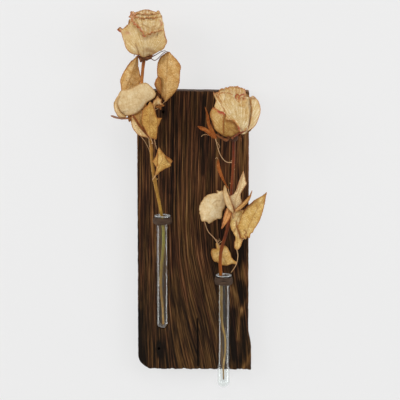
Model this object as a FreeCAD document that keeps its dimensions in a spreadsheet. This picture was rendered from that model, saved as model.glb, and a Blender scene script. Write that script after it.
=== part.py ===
# Wall mounted pair of glass flower tubes on a stained plank, each holding one dried rose.
#
# Frame: X runs to the right, Y into the wall and Z up, in millimetres. The origin is the centre of
# the keyhole hanger's entrance hole, on the wall plane, so the whole object lies at Y below zero.
# The plank hangs on a wall screw. A turned wooden ring stands off the plank on a glued peg at each
# side, a test tube hangs in each ring by its flared lip, and a dried rose stands in each tube.
# Tubes lift out of the rings and roses lift out of the tubes, all of them straight up.

import FreeCAD
import Part
import Sketcher
import math
import os
from FreeCAD import Placement, Rotation, Vector

# Driving dimensions, one cell each: name, value in millimetres or degrees, what it measures.
SIZES = [
    ("board_width", 144.0, "plank, edge to edge"),
    ("board_height", 368.0, "plank, left side, top to bottom"),
    ("board_depth", 19.0, "plank thickness"),
    ("board_above", 38.0, "plank top above the hanger's entrance hole"),
    ("top_slope", 1.6, "how much lower the right end of the top saw cut is"),
    ("bottom_slope", 1.3, "how much lower the right end of the bottom saw cut is"),
    ("chip_width", 13.0, "broken lower left corner, across"),
    ("chip_height", 16.0, "broken lower left corner, up"),
    ("flare_width", 3.8, "swelling of the right edge beside the knot, outward"),
    ("flare_height", 52.0, "swelling of the right edge, up from the bottom"),
    ("flare_run", 20.0, "length over which the swelling grows"),
    ("nail_hole_radius", 1.9, "old nail holes in the front"),
    ("nail_hole_depth", 9.0, "old nail holes, depth"),
    ("nail_upper_across", 38.3, "upper nail hole, left of centre"),
    ("nail_upper_height", 10.5, "upper nail hole, above the origin"),
    ("nail_lower_across", 44.8, "lower nail hole, left of centre"),
    ("nail_lower_drop", 302.4, "lower nail hole, below the origin"),
    ("tube_spread", 79.0, "left tube axis to right tube axis"),
    ("tube_standoff", 16.0, "tube axis in front of the plank's face"),
    ("left_rim_drop", 121.5, "left tube's rim below the origin"),
    ("right_rim_drop", 200.0, "right tube's rim below the origin"),
    ("tube_length", 150.0, "test tube, rim to bottom"),
    ("tube_radius", 8.0, "test tube, outside"),
    ("tube_wall", 1.2, "test tube wall"),
    ("mouth_flare", 0.9, "how much the tube's bore widens up to the rim"),
    ("lip_radius", 10.2, "flared lip, outside"),
    ("lip_height", 2.4, "flared lip, underside below the rim"),
    ("lip_round", 0.6, "rounding of the lip's edges"),
    ("ring_bore", 8.4, "ring bore radius, loose around the tube"),
    ("left_ring_radius", 12.6, "left ring, outside radius"),
    ("left_ring_height", 8.4, "left ring, height"),
    ("right_ring_radius", 11.8, "right ring, outside radius"),
    ("right_ring_height", 9.8, "right ring, height"),
    ("ring_round", 2.5, "rounding of the rings' outer edges"),
    ("ring_bore_round", 0.8, "rounding of the rings' bore edges"),
    ("peg_radius", 4.0, "peg between ring and plank"),
    ("tenon_radius", 2.4, "thinner end of the peg, glued into the ring"),
    ("peg_start", 9.4, "tenon's front end behind the tube axis"),
    ("peg_in_board", 12.0, "length of peg glued into the plank"),
    ("plate_width", 15.0, "keyhole hanger plate"),
    ("plate_above", 21.0, "hanger plate above the entrance hole"),
    ("plate_below", 14.0, "hanger plate below the entrance hole"),
    ("plate_depth", 2.0, "hanger plate thickness"),
    ("plate_round", 3.0, "hanger plate corners"),
    ("entrance_radius", 4.6, "keyhole entrance"),
    ("slot_radius", 2.3, "keyhole slot, half width"),
    ("slot_rise", 9.5, "keyhole slot centre above the entrance"),
    ("head_room", 7.0, "pocket for the wall screw's head, behind the plate"),
    ("head_room_margin", 1.2, "how far that pocket clears the keyhole all round"),
    ("screw_above", 16.8, "upper hanger screw above the entrance"),
    ("screw_below", 9.6, "lower hanger screw below the entrance"),
    ("screw_radius", 1.4, "hanger screw shank"),
    ("screw_length", 13.0, "hanger screw, head to point"),
    ("screw_point", 3.0, "tapered end of a hanger screw"),
    ("screw_head_radius", 2.9, "hanger screw countersunk head"),
    ("screw_head_height", 1.5, "hanger screw head height"),
    ("left_stem_radius", 2.3, "left rose stem"),
    ("right_stem_radius", 2.2, "right rose stem"),
    ("petiole_radius", 0.75, "leaf stalks and tendrils"),
    ("left_head_radius", 28.5, "left bloom"),
    ("left_head_height", 58.0, "left bloom, base to top"),
    ("right_head_radius", 29.0, "right bloom"),
    ("right_head_height", 61.0, "right bloom, base to top"),
    ("hip_radius", 5.2, "rose hip under the petals"),
    ("hip_height", 7.5, "rose hip below the petals"),
    ("hip_core", 10.5, "cone above the hip that carries the petals"),
    ("petal_depth", 0.9, "petal thickness"),
    ("petal_gap", 1.7, "radius step from one petal layer to the next"),
    ("petal_span", 116.0, "how far round the bloom one petal reaches, in degrees"),
    ("petal_least", 1.5, "nearest that a petal comes to the bloom's axis"),
    ("sepal_length", 20.0, "leaflet under the petals, reach from the bloom's axis"),
    ("sepal_width", 6.0, "leaflet under the petals, width"),
    ("sepal_bow", 1.5, "leaflet under the petals, rise of its bow"),
    ("sepal_seat", 1.4, "how far a leaflet's root is set into the hip"),
    ("sepal_root_drop", 2.4, "leaflet's root below the bloom's base"),
    ("sepal_tip_drop", 6.0, "leaflet's tip below the bloom's base"),
    ("leaf_depth", 0.8, "leaf thickness"),
    ("stalk_seat", 3.0, "how far a stalk runs into its leaf"),
]

PETALS_ROUND = 3
SEPALS_ROUND = 5

# The broken corner's outline, as shares of its width and height.
CHIP_OUTLINE = [(0.0, 1.0), (0.25, 0.55), (0.72, 0.22), (1.0, 0.0)]

# How much of the shorter run each bend of a stem or stalk takes.
BEND_SHARE = 0.45

# Where a leaf blade is widest, as a share of its length.
BLADE_BELLY = 0.45

# Layers of petals: how many gaps each is set in, how far it stands up the hip, its share of the
# bloom's height, and its turn.
PETAL_LAYERS = {
    "outer_petals": [
        {"inset": 0.0, "rise": 1.0, "reach": 1.0, "turn": 0.0},
        {"inset": 1.0, "rise": 2.7, "reach": 0.98, "turn": 60.0},
    ],
    "inner_petals": [
        {"inset": 3.4, "rise": 5.5, "reach": 0.93, "turn": 30.0},
        {"inset": 4.4, "rise": 7.2, "reach": 0.90, "turn": 90.0},
    ],
}

# The hip's outline: shares of its radius, then of its height where negative, or of its core's.
HIP_OUTLINE = [
    (0.62, -1.0),
    (0.97, -0.5),
    (1.00, 0.1),
    (0.75, 0.55),
    (0.40, 1.0),
]

# The outline of the closed bud above the hip's core, as shares of the bloom's radius and height.
HEART_OUTLINE = [
    (0.37, 0.32),
    (0.50, 0.52),
    (0.40, 0.80),
    (0.08, 0.93),
]

# How far a petal's inner face stands inward and up from its outer face, in petal thicknesses.
PETAL_SLANT = (-0.75, 0.65)

# The outline of a petal layer, as shares of the bloom's radius and height.
PETAL_OUTLINE = [
    (0.16, 0.010),
    (0.50, 0.065),
    (0.80, 0.160),
    (0.97, 0.310),
    (1.00, 0.470),
    (0.89, 0.660),
    (0.78, 0.810),
    (0.79, 0.900),
]

# Stems run from the cut end in the tube up into the hip, through points chosen along each.
LEFT_STEM = [
    (-38.6, -33.0, -266.0),
    (-39.9, -32.4, -239.0),
    (-42.0, -32.4, -212.0),
    (-40.4, -32.4, -184.0),
    (-38.2, -32.6, -158.0),
    (-38.8, -32.8, -137.0),
    (-41.0, -33.6, -119.0),
    (-44.6, -34.6, -100.0),
    (-48.3, -35.6, -81.0),
    (-51.8, -36.6, -59.0),
    (-53.4, -37.6, -36.0),
    (-56.2, -38.6, -10.0),
    (-60.4, -39.8, 18.0),
    (-63.8, -41.0, 46.0),
    (-63.6, -41.6, 64.0),
    (-61.9, -41.8, 81.5),
]
RIGHT_STEM = [
    (39.6, -33.0, -340.0),
    (39.4, -32.8, -322.0),
    (41.6, -32.6, -304.0),
    (41.4, -32.6, -284.0),
    (37.4, -32.6, -264.0),
    (36.3, -32.8, -244.0),
    (36.2, -33.0, -222.0),
    (35.8, -33.4, -202.0),
    (34.9, -34.4, -184.0),
    (36.2, -35.6, -168.0),
    (40.6, -37.2, -151.0),
    (45.4, -39.0, -134.0),
    (48.5, -41.0, -115.0),
    (48.8, -43.2, -95.0),
    (50.0, -45.6, -73.0),
    (51.6, -48.0, -48.0),
    (51.6, -50.7, -21.5),
]

# Leaves: base, tip, width, how far the blade bows, how far it turns about its own length in
# degrees, and the points of the stalk from the middle of the stem to just short of the base.
LEAVES = {
    "left_leaf_top_left": {
        "base": (-86.0, -31.0, 30.0),
        "tip": (-72.5, -33.0, 85.0),
        "width": 28.0,
        "bow": 5.0,
        "roll": 10.0,
        "stalk": [(-62.4, -40.6, 36.0), (-70.0, -36.0, 26.0), (-82.0, -32.0, 25.0)],
    },
    "left_leaf_top_right": {
        "base": (-34.5, -35.0, 26.0),
        "tip": (-31.2, -40.0, 90.0),
        "width": 32.0,
        "bow": 6.0,
        "roll": -12.0,
        "stalk": [(-60.9, -39.9, 21.0), (-48.0, -37.0, 16.0), (-38.0, -35.0, 20.0)],
    },
    "left_leaf_pale": {
        "base": (-67.5, -47.0, 11.0),
        "tip": (-83.0, -54.0, 50.0),
        "width": 50.0,
        "bow": 8.0,
        "roll": 0.0,
        "stalk": [(-57.1, -38.9, -4.0), (-63.0, -43.0, -1.0), (-66.8, -46.5, 6.0)],
    },
    "left_leaf_edgewise": {
        "base": (-79.0, -41.0, 5.0),
        "tip": (-105.5, -42.0, 9.5),
        "width": 13.0,
        "bow": 2.0,
        "roll": 72.0,
        "stalk": [(-57.8, -39.1, 0.0), (-66.0, -40.5, 6.0), (-75.0, -41.0, 5.6)],
    },
    "left_leaf_middle": {
        "base": (-49.5, -50.0, -18.0),
        "tip": (-57.0, -60.0, 31.0),
        "width": 21.0,
        "bow": 5.0,
        "roll": 10.0,
        "stalk": [(-54.5, -38.0, -26.0), (-51.0, -43.5, -27.0), (-49.3, -48.5, -22.0)],
    },
    "left_leaf_lower": {
        "base": (-60.0, -42.0, -18.0),
        "tip": (-78.0, -43.0, 12.5),
        "width": 15.0,
        "bow": 3.0,
        "roll": 12.0,
        "stalk": [(-53.4, -37.6, -36.0), (-55.5, -40.0, -29.0), (-58.5, -41.7, -21.5)],
    },
    "left_leaf_folded": {
        "base": (-43.5, -43.0, 15.0),
        "tip": (-45.0, -45.5, 37.0),
        "width": 12.0,
        "bow": 2.0,
        "roll": 30.0,
        "stalk": [(-58.0, -39.1, 2.0), (-51.0, -41.0, 3.0), (-44.5, -42.5, 10.5)],
    },
    "left_leaf_small": {
        "base": (-49.0, -43.0, -67.0),
        "tip": (-33.0, -48.0, -36.5),
        "width": 23.0,
        "bow": 3.0,
        "roll": -4.0,
        "stalk": [(-49.9, -36.1, -71.0), (-51.6, -39.5, -74.0), (-51.0, -42.5, -70.5)],
    },
    "right_leaf_pale": {
        "base": (14.0, -41.0, -130.5),
        "tip": (35.5, -43.0, -88.0),
        "width": 32.0,
        "bow": 5.0,
        "roll": 6.0,
        "stalk": [(36.4, -35.7, -167.0), (28.0, -38.0, -152.0), (19.5, -40.0, -142.0), (13.5, -41.0, -134.5)],
    },
    "right_leaf_upright": {
        "base": (50.5, -57.0, -116.0),
        "tip": (40.6, -61.0, -78.5),
        "width": 10.5,
        "bow": 2.0,
        "roll": 0.0,
        "stalk": [(48.3, -40.9, -116.0), (50.8, -48.0, -122.0), (50.8, -55.0, -119.5)],
    },
    "right_leaf_bract": {
        "base": (44.6, -40.0, -84.0),
        "tip": (33.0, -39.0, -48.0),
        "width": 5.0,
        "bow": 2.0,
        "roll": 0.0,
        "stalk": [(48.8, -43.2, -95.0), (46.5, -41.0, -92.0), (45.2, -40.2, -87.5)],
    },
    "right_leaf_upper": {
        "base": (53.5, -51.0, -103.0),
        "tip": (65.0, -54.0, -62.0),
        "width": 15.0,
        "bow": 4.0,
        "roll": -10.0,
        "stalk": [(48.6, -41.6, -110.0), (51.5, -46.0, -111.5), (53.2, -50.0, -107.0)],
    },
    "right_leaf_folded": {
        "base": (56.0, -58.5, -113.0),
        "tip": (76.0, -60.0, -85.0),
        "width": 7.0,
        "bow": 2.0,
        "roll": 0.0,
        "stalk": [(47.6, -40.4, -121.0), (51.0, -49.0, -124.0), (54.5, -57.0, -118.0)],
    },
    "right_leaf_short": {
        "base": (45.5, -52.0, -109.0),
        "tip": (37.0, -57.0, -135.5),
        "width": 9.0,
        "bow": 2.0,
        "roll": 0.0,
        "stalk": [(48.7, -42.3, -103.0), (47.6, -47.0, -102.5), (46.3, -51.0, -105.0)],
    },
    "right_leaf_large": {
        "base": (64.5, -50.0, -149.0),
        "tip": (95.0, -56.0, -88.5),
        "width": 24.0,
        "bow": 5.0,
        "roll": -8.0,
        "stalk": [(45.2, -38.9, -135.0), (52.0, -44.0, -147.0), (61.5, -49.0, -153.0)],
    },
    "right_leaf_curled_long": {
        "base": (29.0, -55.0, -17.5),
        "tip": (14.5, -54.0, 23.0),
        "width": 7.0,
        "bow": 4.0,
        "roll": -20.0,
        "stalk": [
            (51.6, -47.6, -50.0),
            (42.3, -50.5, -49.0),
            (35.0, -52.5, -40.0),
            (30.8, -54.0, -27.5),
        ],
    },
    "right_leaf_curled_short": {
        "base": (26.5, -52.5, -18.0),
        "tip": (6.5, -50.0, -3.0),
        "width": 7.0,
        "bow": 2.0,
        "roll": 0.0,
        "stalk": [(30.2, -54.4, -24.0), (28.4, -53.2, -20.0)],
    },
    "right_leaf_hanging": {
        "base": (59.5, -44.0, -113.0),
        "tip": (54.8, -46.0, -163.5),
        "width": 18.0,
        "bow": 3.0,
        "roll": -6.0,
        "stalk": [(48.9, -43.2, -95.0), (54.0, -43.5, -99.0), (59.0, -43.9, -107.5)],
    },
    "right_leaf_round": {
        "base": (37.0, -27.5, -157.5),
        "tip": (38.5, -29.0, -190.5),
        "width": 27.0,
        "bow": 3.0,
        "roll": 0.0,
        "stalk": [(37.6, -36.1, -162.6), (39.5, -31.5, -156.0), (37.5, -28.3, -153.5)],
    },
}

# Loose tendrils, dried into a curl: one from the left stem, one from the right hanging leaf's tip.
TENDRILS = {
    "left": [[(-62.2, -41.7, 78.0), (-53.0, -48.0, 76.0), (-42.0, -47.0, 87.0), (-33.0, -43.0, 95.0)]],
    "right": [
        [(55.2, -46.8, -159.0), (57.2, -45.0, -172.0), (55.0, -42.5, -184.0), (49.8, -40.0, -194.5)],
    ],
}

# Where each bloom's base sits, and how far its axis leans to the right and towards the viewer.
BLOOMS = {
    "left": {"base": (-62.0, -42.0, 87.0), "lean_right": -1.0, "lean_forward": 2.0},
    "right": {"base": (52.0, -51.2, -16.0), "lean_right": 4.0, "lean_forward": 3.0},
}


def make_sheet(doc):
    """The spreadsheet that every piece reads its sizes from."""
    sheet = doc.addObject("Spreadsheet::Sheet", "sizes")
    for row, (name, value, note) in enumerate(SIZES, start=1):
        sheet.set(f"A{row}", name)
        sheet.set(f"B{row}", str(value))
        sheet.set(f"C{row}", note)
        sheet.setAlias(f"B{row}", name)
    doc.recompute()
    return sheet


# ---- Helpers for sketched bodies -------------------------------------------------------------


def new_body(doc, label):
    body = doc.addObject("PartDesign::Body", label)
    body.Label = label
    return body


def base_plane(body, role):
    return next(f for f in body.Origin.OriginFeatures if f.Role == role)


def new_sketch(body, name, role, offset=None):
    sketch = body.newObject("Sketcher::SketchObject", name)
    sketch.AttachmentSupport = [(base_plane(body, role), "")]
    sketch.MapMode = "FlatFace"
    if offset:
        sketch.setExpression("AttachmentOffset.Base.z", offset)
    return sketch


def bind_constraint(sketch, constraint, text):
    index = sketch.addConstraint(constraint)
    sketch.setExpression(f"Constraints[{index}]", text)


def pin_point(sketch, geometry, end, across, up):
    """Holds one point of a sketch at two expressions of the sheet."""
    for kind, text in (("DistanceX", across), ("DistanceY", up)):
        value = sketch.evalExpression(text)
        if abs(value) < 1e-9:
            axis = -2 if kind == "DistanceX" else -1
            sketch.addConstraint(Sketcher.Constraint("PointOnObject", geometry, end, axis))
        else:
            constraint = Sketcher.Constraint(kind, -1, 1, geometry, end, value)
            bind_constraint(sketch, constraint, text)


def draw_outline(sketch, corners):
    """A closed outline through corners given as (across, up) or (across, up, radius).

    A radius makes the edge that leaves its corner an arc, which turns left if it is positive.
    """
    spots = [Vector(sketch.evalExpression(c[0]), sketch.evalExpression(c[1]), 0) for c in corners]
    count = len(corners)
    for i, corner in enumerate(corners):
        start = spots[i]
        end = spots[(i + 1) % count]
        if len(corner) == 2:
            sketch.addGeometry(Part.LineSegment(start, end))
            continue
        radius = sketch.evalExpression(corner[2])
        chord = end - start
        square = Vector(-chord.y, chord.x, 0).normalize()
        rise = math.sqrt(max(radius**2 - chord.Length**2 / 4, 0))
        side = 1 if radius > 0 else -1
        centre = (start + end) / 2 + square * rise * side
        middle = centre - square * abs(radius) * side
        sketch.addGeometry(Part.Arc(start, middle, end))

    def ends(i):
        """Which end number of edge i is its start, and which its finish."""
        first = sketch.getPoint(i, 1)
        return (1, 2) if (first - spots[i]).Length < 1e-6 else (2, 1)

    for i, corner in enumerate(corners):
        following = (i + 1) % count
        sketch.addConstraint(
            Sketcher.Constraint("Coincident", i, ends(i)[1], following, ends(following)[0])
        )
    for i, corner in enumerate(corners):
        pin_point(sketch, i, ends(i)[0], corner[0], corner[1])
        if len(corner) == 3:
            radius = sketch.evalExpression(corner[2])
            text = corner[2] if radius > 0 else f"-({corner[2]})"
            bind_constraint(sketch, Sketcher.Constraint("Radius", i, abs(radius)), text)


def draw_circle(sketch, across, up, radius):
    centre = Vector(sketch.evalExpression(across), sketch.evalExpression(up), 0)
    value = sketch.evalExpression(radius)
    index = sketch.addGeometry(Part.Circle(centre, Vector(0, 0, 1), value))
    pin_point(sketch, index, 3, across, up)
    bind_constraint(sketch, Sketcher.Constraint("Radius", index, value), radius)


def draw_slot(sketch, radius, rise):
    """An upright slot with round ends, its lower centre on the sketch's origin."""
    half = sketch.evalExpression(radius)
    top = Vector(0, sketch.evalExpression(rise), 0)
    normal = Vector(0, 0, 1)
    lower = sketch.addGeometry(Part.ArcOfCircle(Part.Circle(Vector(), normal, half), math.pi, 2 * math.pi))
    upper = sketch.addGeometry(Part.ArcOfCircle(Part.Circle(top, normal, half), 0, math.pi))
    right = sketch.addGeometry(Part.LineSegment(Vector(half, 0, 0), Vector(half, top.y, 0)))
    left = sketch.addGeometry(Part.LineSegment(Vector(-half, top.y, 0), Vector(-half, 0, 0)))
    for first, first_end, second, second_end in (
        (lower, 2, right, 1),
        (right, 2, upper, 1),
        (upper, 2, left, 1),
        (left, 2, lower, 1),
    ):
        sketch.addConstraint(Sketcher.Constraint("Tangent", first, first_end, second, second_end))
    pin_point(sketch, lower, 3, "0", "0")
    pin_point(sketch, upper, 3, "0", rise)
    bind_constraint(sketch, Sketcher.Constraint("Radius", lower, half), radius)


def pad(body, sketch, length, reverse=False):
    feature = body.newObject("PartDesign::Pad", sketch.Name + "_pad")
    feature.Profile = sketch
    feature.setExpression("Length", length)
    feature.Reversed = reverse
    body.Document.recompute()
    return feature


def pocket(body, sketch, depth, reverse=False):
    """Cuts a pocket and stops the build if it takes nothing away."""
    before = body.Shape.Volume
    feature = body.newObject("PartDesign::Pocket", sketch.Name + "_pocket")
    feature.Profile = sketch
    feature.setExpression("Length", depth)
    feature.Reversed = reverse
    body.Document.recompute()
    if body.Shape.Volume > before - 0.01:
        raise RuntimeError(f"{feature.Name} cuts nothing")
    return feature


def revolve(body, sketch, kind="PartDesign::Revolution"):
    feature = body.newObject(kind, sketch.Name + "_turn")
    feature.Profile = sketch
    feature.ReferenceAxis = (sketch, ["V_Axis"])
    feature.Angle = 360
    body.Document.recompute()
    return feature


def pick_edges(feature, choose):
    numbered = enumerate(feature.Shape.Edges, start=1)
    return [f"Edge{i}" for i, edge in numbered if not edge.Degenerated and choose(edge)]


def round_edges(body, base, radius, choose):
    """Rounds the edges of a feature that choose picks."""
    names = pick_edges(base, choose)
    if not names:
        raise RuntimeError(f"no edges to round on {base.Name}")
    feature = body.newObject("PartDesign::Fillet", base.Name + "_round")
    feature.Base = (base, names)
    feature.setExpression("Radius", radius)
    body.Document.recompute()
    return feature


def bind_place(piece, across=None, back=None, up=None):
    for axis, text in (("x", across), ("y", back), ("z", up)):
        if text:
            piece.setExpression(f"Placement.Base.{axis}", text)


# ---- Plank and hanger ------------------------------------------------------------------------


def make_board(doc):
    """The plank: saw cut ends, a broken corner, a swollen edge, and every hole and recess in it."""
    body = new_body(doc, "backboard")
    left = "-sizes.board_width / 2"
    right = "sizes.board_width / 2"
    top = "sizes.board_above"
    bottom = "sizes.board_above - sizes.board_height"
    right_bottom = f"{bottom} - sizes.bottom_slope"
    chip = [
        (f"{left} + sizes.chip_width * {across}", f"{bottom} + sizes.chip_height * {up}")
        for across, up in CHIP_OUTLINE
    ]
    swelling = [
        (f"{right} + sizes.flare_width", right_bottom),
        (f"{right} + sizes.flare_width", f"{right_bottom} + sizes.flare_height - sizes.flare_run"),
        (right, f"{right_bottom} + sizes.flare_height"),
    ]
    slab = new_sketch(body, "plank", "XZ_Plane")
    draw_outline(slab, [(left, top), *chip, *swelling, (right, f"{top} - sizes.top_slope")])
    pad(body, slab, "sizes.board_depth")

    nails = new_sketch(body, "nail_holes", "XZ_Plane", "sizes.board_depth")
    draw_circle(nails, "-sizes.nail_upper_across", "sizes.nail_upper_height", "sizes.nail_hole_radius")
    draw_circle(nails, "-sizes.nail_lower_across", "-sizes.nail_lower_drop", "sizes.nail_hole_radius")
    pocket(body, nails, "sizes.nail_hole_depth")

    pegs = new_sketch(body, "peg_holes", "XZ_Plane", "sizes.board_depth")
    for across, side in (("-sizes.tube_spread / 2", "left"), ("sizes.tube_spread / 2", "right")):
        height = f"-sizes.{side}_rim_drop - sizes.lip_height - sizes.{side}_ring_height / 2"
        draw_circle(pegs, across, height, "sizes.peg_radius")
    pocket(body, pegs, "sizes.peg_in_board")

    recess = new_sketch(body, "plate_recess", "XZ_Plane")
    half = "sizes.plate_width / 2"
    draw_outline(
        recess,
        [
            (f"-{half}", "-sizes.plate_below"),
            (half, "-sizes.plate_below"),
            (half, "sizes.plate_above"),
            (f"-{half}", "sizes.plate_above"),
        ],
    )
    pocket(body, recess, "sizes.plate_depth", reverse=True)

    room = new_sketch(body, "head_recess", "XZ_Plane")
    draw_slot(room, "sizes.entrance_radius + sizes.head_room_margin", "sizes.slot_rise")
    pocket(body, room, "sizes.plate_depth + sizes.head_room", reverse=True)

    pilots = new_sketch(body, "pilot_holes", "XZ_Plane")
    draw_circle(pilots, "0", "sizes.screw_above", "sizes.screw_radius")
    draw_circle(pilots, "0", "-sizes.screw_below", "sizes.screw_radius")
    pocket(body, pilots, "sizes.screw_length", reverse=True)
    return body


def make_plate(doc, sheet):
    """The steel keyhole hanger, let in flush with the back of the plank."""
    body = new_body(doc, "keyhole_plate")
    half = "sizes.plate_width / 2"
    outline = new_sketch(body, "plate", "XZ_Plane")
    draw_outline(
        outline,
        [
            (f"-{half}", "-sizes.plate_below"),
            (half, "-sizes.plate_below"),
            (half, "sizes.plate_above"),
            (f"-{half}", "sizes.plate_above"),
        ],
    )
    blank = pad(body, outline, "sizes.plate_depth")

    def is_corner(edge):
        return abs(edge.tangentAt(edge.FirstParameter).y) > 0.99

    round_edges(body, blank, "sizes.plate_round", is_corner)

    entrance = new_sketch(body, "entrance", "XZ_Plane")
    draw_circle(entrance, "0", "0", "sizes.entrance_radius")
    pocket(body, entrance, "sizes.plate_depth", reverse=True)

    slot = new_sketch(body, "slot", "XZ_Plane")
    draw_slot(slot, "sizes.slot_radius", "sizes.slot_rise")
    pocket(body, slot, "sizes.plate_depth", reverse=True)

    sinks = new_sketch(body, "screw_holes", "XZ_Plane")
    draw_circle(sinks, "0", "sizes.screw_above", "sizes.screw_radius")
    draw_circle(sinks, "0", "-sizes.screw_below", "sizes.screw_radius")
    holes = pocket(body, sinks, "sizes.plate_depth", reverse=True)

    def is_screw_mouth(edge):
        curve = edge.Curve
        if not isinstance(curve, Part.Circle):
            return False
        return abs(curve.Radius - sheet.screw_radius) < 1e-6 and abs(curve.Center.y) < 1e-6

    sink = body.newObject("PartDesign::Chamfer", "countersinks")
    sink.Base = (holes, pick_edges(holes, is_screw_mouth))
    sink.ChamferType = "Two distances"
    sink.setExpression("Size", "sizes.screw_head_height")
    sink.setExpression("Size2", "sizes.screw_head_radius - sizes.screw_radius")
    doc.recompute()
    return body


def make_screws(doc, sheet):
    """Two countersunk wood screws that hold the hanger plate, as one node of two solids."""
    shank = sheet.screw_radius
    head = sheet.screw_head_radius
    profile = Part.makePolygon(
        [
            Vector(0, 0, 0),
            Vector(head, 0, 0),
            Vector(shank, -sheet.screw_head_height, 0),
            Vector(shank, -sheet.screw_length + sheet.screw_point, 0),
            Vector(0, -sheet.screw_length, 0),
            Vector(0, 0, 0),
        ]
    )
    screw = Part.Face(profile).revolve(Vector(0, 0, 0), Vector(0, 1, 0), 360)
    heights = (sheet.screw_above, -sheet.screw_below)
    both = [screw.translated(Vector(0, 0, z)) for z in heights]
    return add_shape(doc, "keyhole_screws", Part.makeCompound(both))


# ---- Rings, pegs and tubes -------------------------------------------------------------------


def make_ring(doc, sheet, side, across):
    """A turned wooden ring with rounded shoulders and a blind hole for its peg."""
    body = new_body(doc, f"{side}_ring")
    outside = f"sizes.{side}_ring_radius"
    underside = f"-sizes.{side}_ring_height"
    profile = new_sketch(body, f"{side}_ring_profile", "XZ_Plane")
    draw_outline(
        profile,
        [
            ("sizes.ring_bore", underside),
            (outside, underside),
            (outside, "0"),
            ("sizes.ring_bore", "0"),
        ],
    )
    blank = revolve(body, profile)

    def on_radius(radius):
        return lambda e: isinstance(e.Curve, Part.Circle) and abs(e.Curve.Radius - radius) < 1e-6

    outer = round_edges(body, blank, "sizes.ring_round", on_radius(sheet.get(f"{side}_ring_radius")))
    round_edges(body, outer, "sizes.ring_bore_round", on_radius(sheet.ring_bore))
    hole = new_sketch(body, f"{side}_ring_hole", "XZ_Plane", f"-{outside} - 1")
    draw_circle(hole, "0", f"{underside} / 2", "sizes.tenon_radius")
    pocket(body, hole, f"{outside} + 1 - sizes.peg_start", reverse=True)
    bind_place(
        body,
        across,
        "-sizes.board_depth - sizes.tube_standoff",
        f"-sizes.{side}_rim_drop - sizes.lip_height",
    )
    return body


def make_peg(doc, side, across):
    """The turned peg that carries a ring: its tenon is glued into the ring, its shank into the plank."""
    label = f"{side}_ring_peg"
    body = new_body(doc, label)
    profile = new_sketch(body, f"{label}_profile", "XZ_Plane")
    shoulder = f"sizes.{side}_ring_radius"
    back = "sizes.tube_standoff + sizes.peg_in_board"
    draw_outline(
        profile,
        [
            ("0", "sizes.peg_start"),
            ("sizes.tenon_radius", "sizes.peg_start"),
            ("sizes.tenon_radius", shoulder),
            ("sizes.peg_radius", shoulder),
            ("sizes.peg_radius", back),
            ("0", back),
        ],
    )
    revolve(body, profile)
    body.Placement.Rotation = Rotation(Vector(1, 0, 0), -90)
    bind_place(
        body,
        across,
        "-sizes.board_depth - sizes.tube_standoff",
        f"-sizes.{side}_rim_drop - sizes.lip_height - sizes.{side}_ring_height / 2",
    )
    return body


def make_tube(doc, sheet, side, across):
    """A test tube: round bottom, flared lip, and an even wall. Its rim is at its own Z of zero."""
    body = new_body(doc, f"{side}_tube")
    outside = new_sketch(body, f"{side}_tube_outside", "XZ_Plane")
    draw_outline(
        outside,
        [
            ("0", "-sizes.tube_length", "sizes.tube_radius"),
            ("sizes.tube_radius", "-sizes.tube_length + sizes.tube_radius"),
            ("sizes.tube_radius", "-sizes.lip_height"),
            ("sizes.lip_radius", "-sizes.lip_height"),
            ("sizes.lip_radius", "0"),
            ("0", "0"),
        ],
    )
    blank = revolve(body, outside)

    def on_lip(edge):
        return isinstance(edge.Curve, Part.Circle) and edge.Curve.Radius > sheet.lip_radius - sheet.lip_round

    round_edges(body, blank, "sizes.lip_round", on_lip)
    bore = "(sizes.tube_radius - sizes.tube_wall)"
    inside = new_sketch(body, f"{side}_tube_inside", "XZ_Plane")
    draw_outline(
        inside,
        [
            ("0", "-sizes.tube_length + sizes.tube_wall", bore),
            (bore, "-sizes.tube_length + sizes.tube_radius"),
            (bore, "-sizes.lip_height"),
            (f"{bore} + sizes.mouth_flare", "0"),
            ("0", "0"),
        ],
    )
    before = body.Shape.Volume
    revolve(body, inside, "PartDesign::Groove")
    straight = sheet.tube_length - sheet.tube_radius
    if before - body.Shape.Volume < math.pi * (sheet.tube_radius - sheet.tube_wall) ** 2 * straight:
        raise RuntimeError(f"{side} tube isn't hollow")
    bind_place(
        body,
        across,
        "-sizes.board_depth - sizes.tube_standoff",
        f"-sizes.{side}_rim_drop",
    )
    return body


# ---- Roses -----------------------------------------------------------------------------------


def add_shape(doc, label, shape):
    piece = doc.addObject("Part::Feature", label)
    piece.Label = label
    piece.Shape = shape
    return piece


def spline(points):
    return Part.BSplineCurve(points).toShape()


def turned_solid(outline):
    """A solid of revolution about Z with a curved outline from its foot up to its flat top."""
    foot = Vector(0, 0, outline[0].z)
    top = Vector(0, 0, outline[-1].z)
    edges = [
        Part.makeLine(foot, outline[0]),
        spline(outline),
        Part.makeLine(outline[-1], top),
        Part.makeLine(top, foot),
    ]
    return Part.Face(Part.Wire(edges)).revolve(Vector(0, 0, 0), Vector(0, 0, 1), 360)


def trimmed(shape, cutters, label):
    """The shape with its neighbours cut out of it, so that they meet face to face."""
    for cutter in cutters:
        shape = shape.cut(cutter)
    solid = max(shape.Solids, key=lambda s: s.Volume)
    if solid.Volume < 0.9 * shape.Volume:
        raise RuntimeError(f"{label} is cut in two")
    return solid


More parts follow.
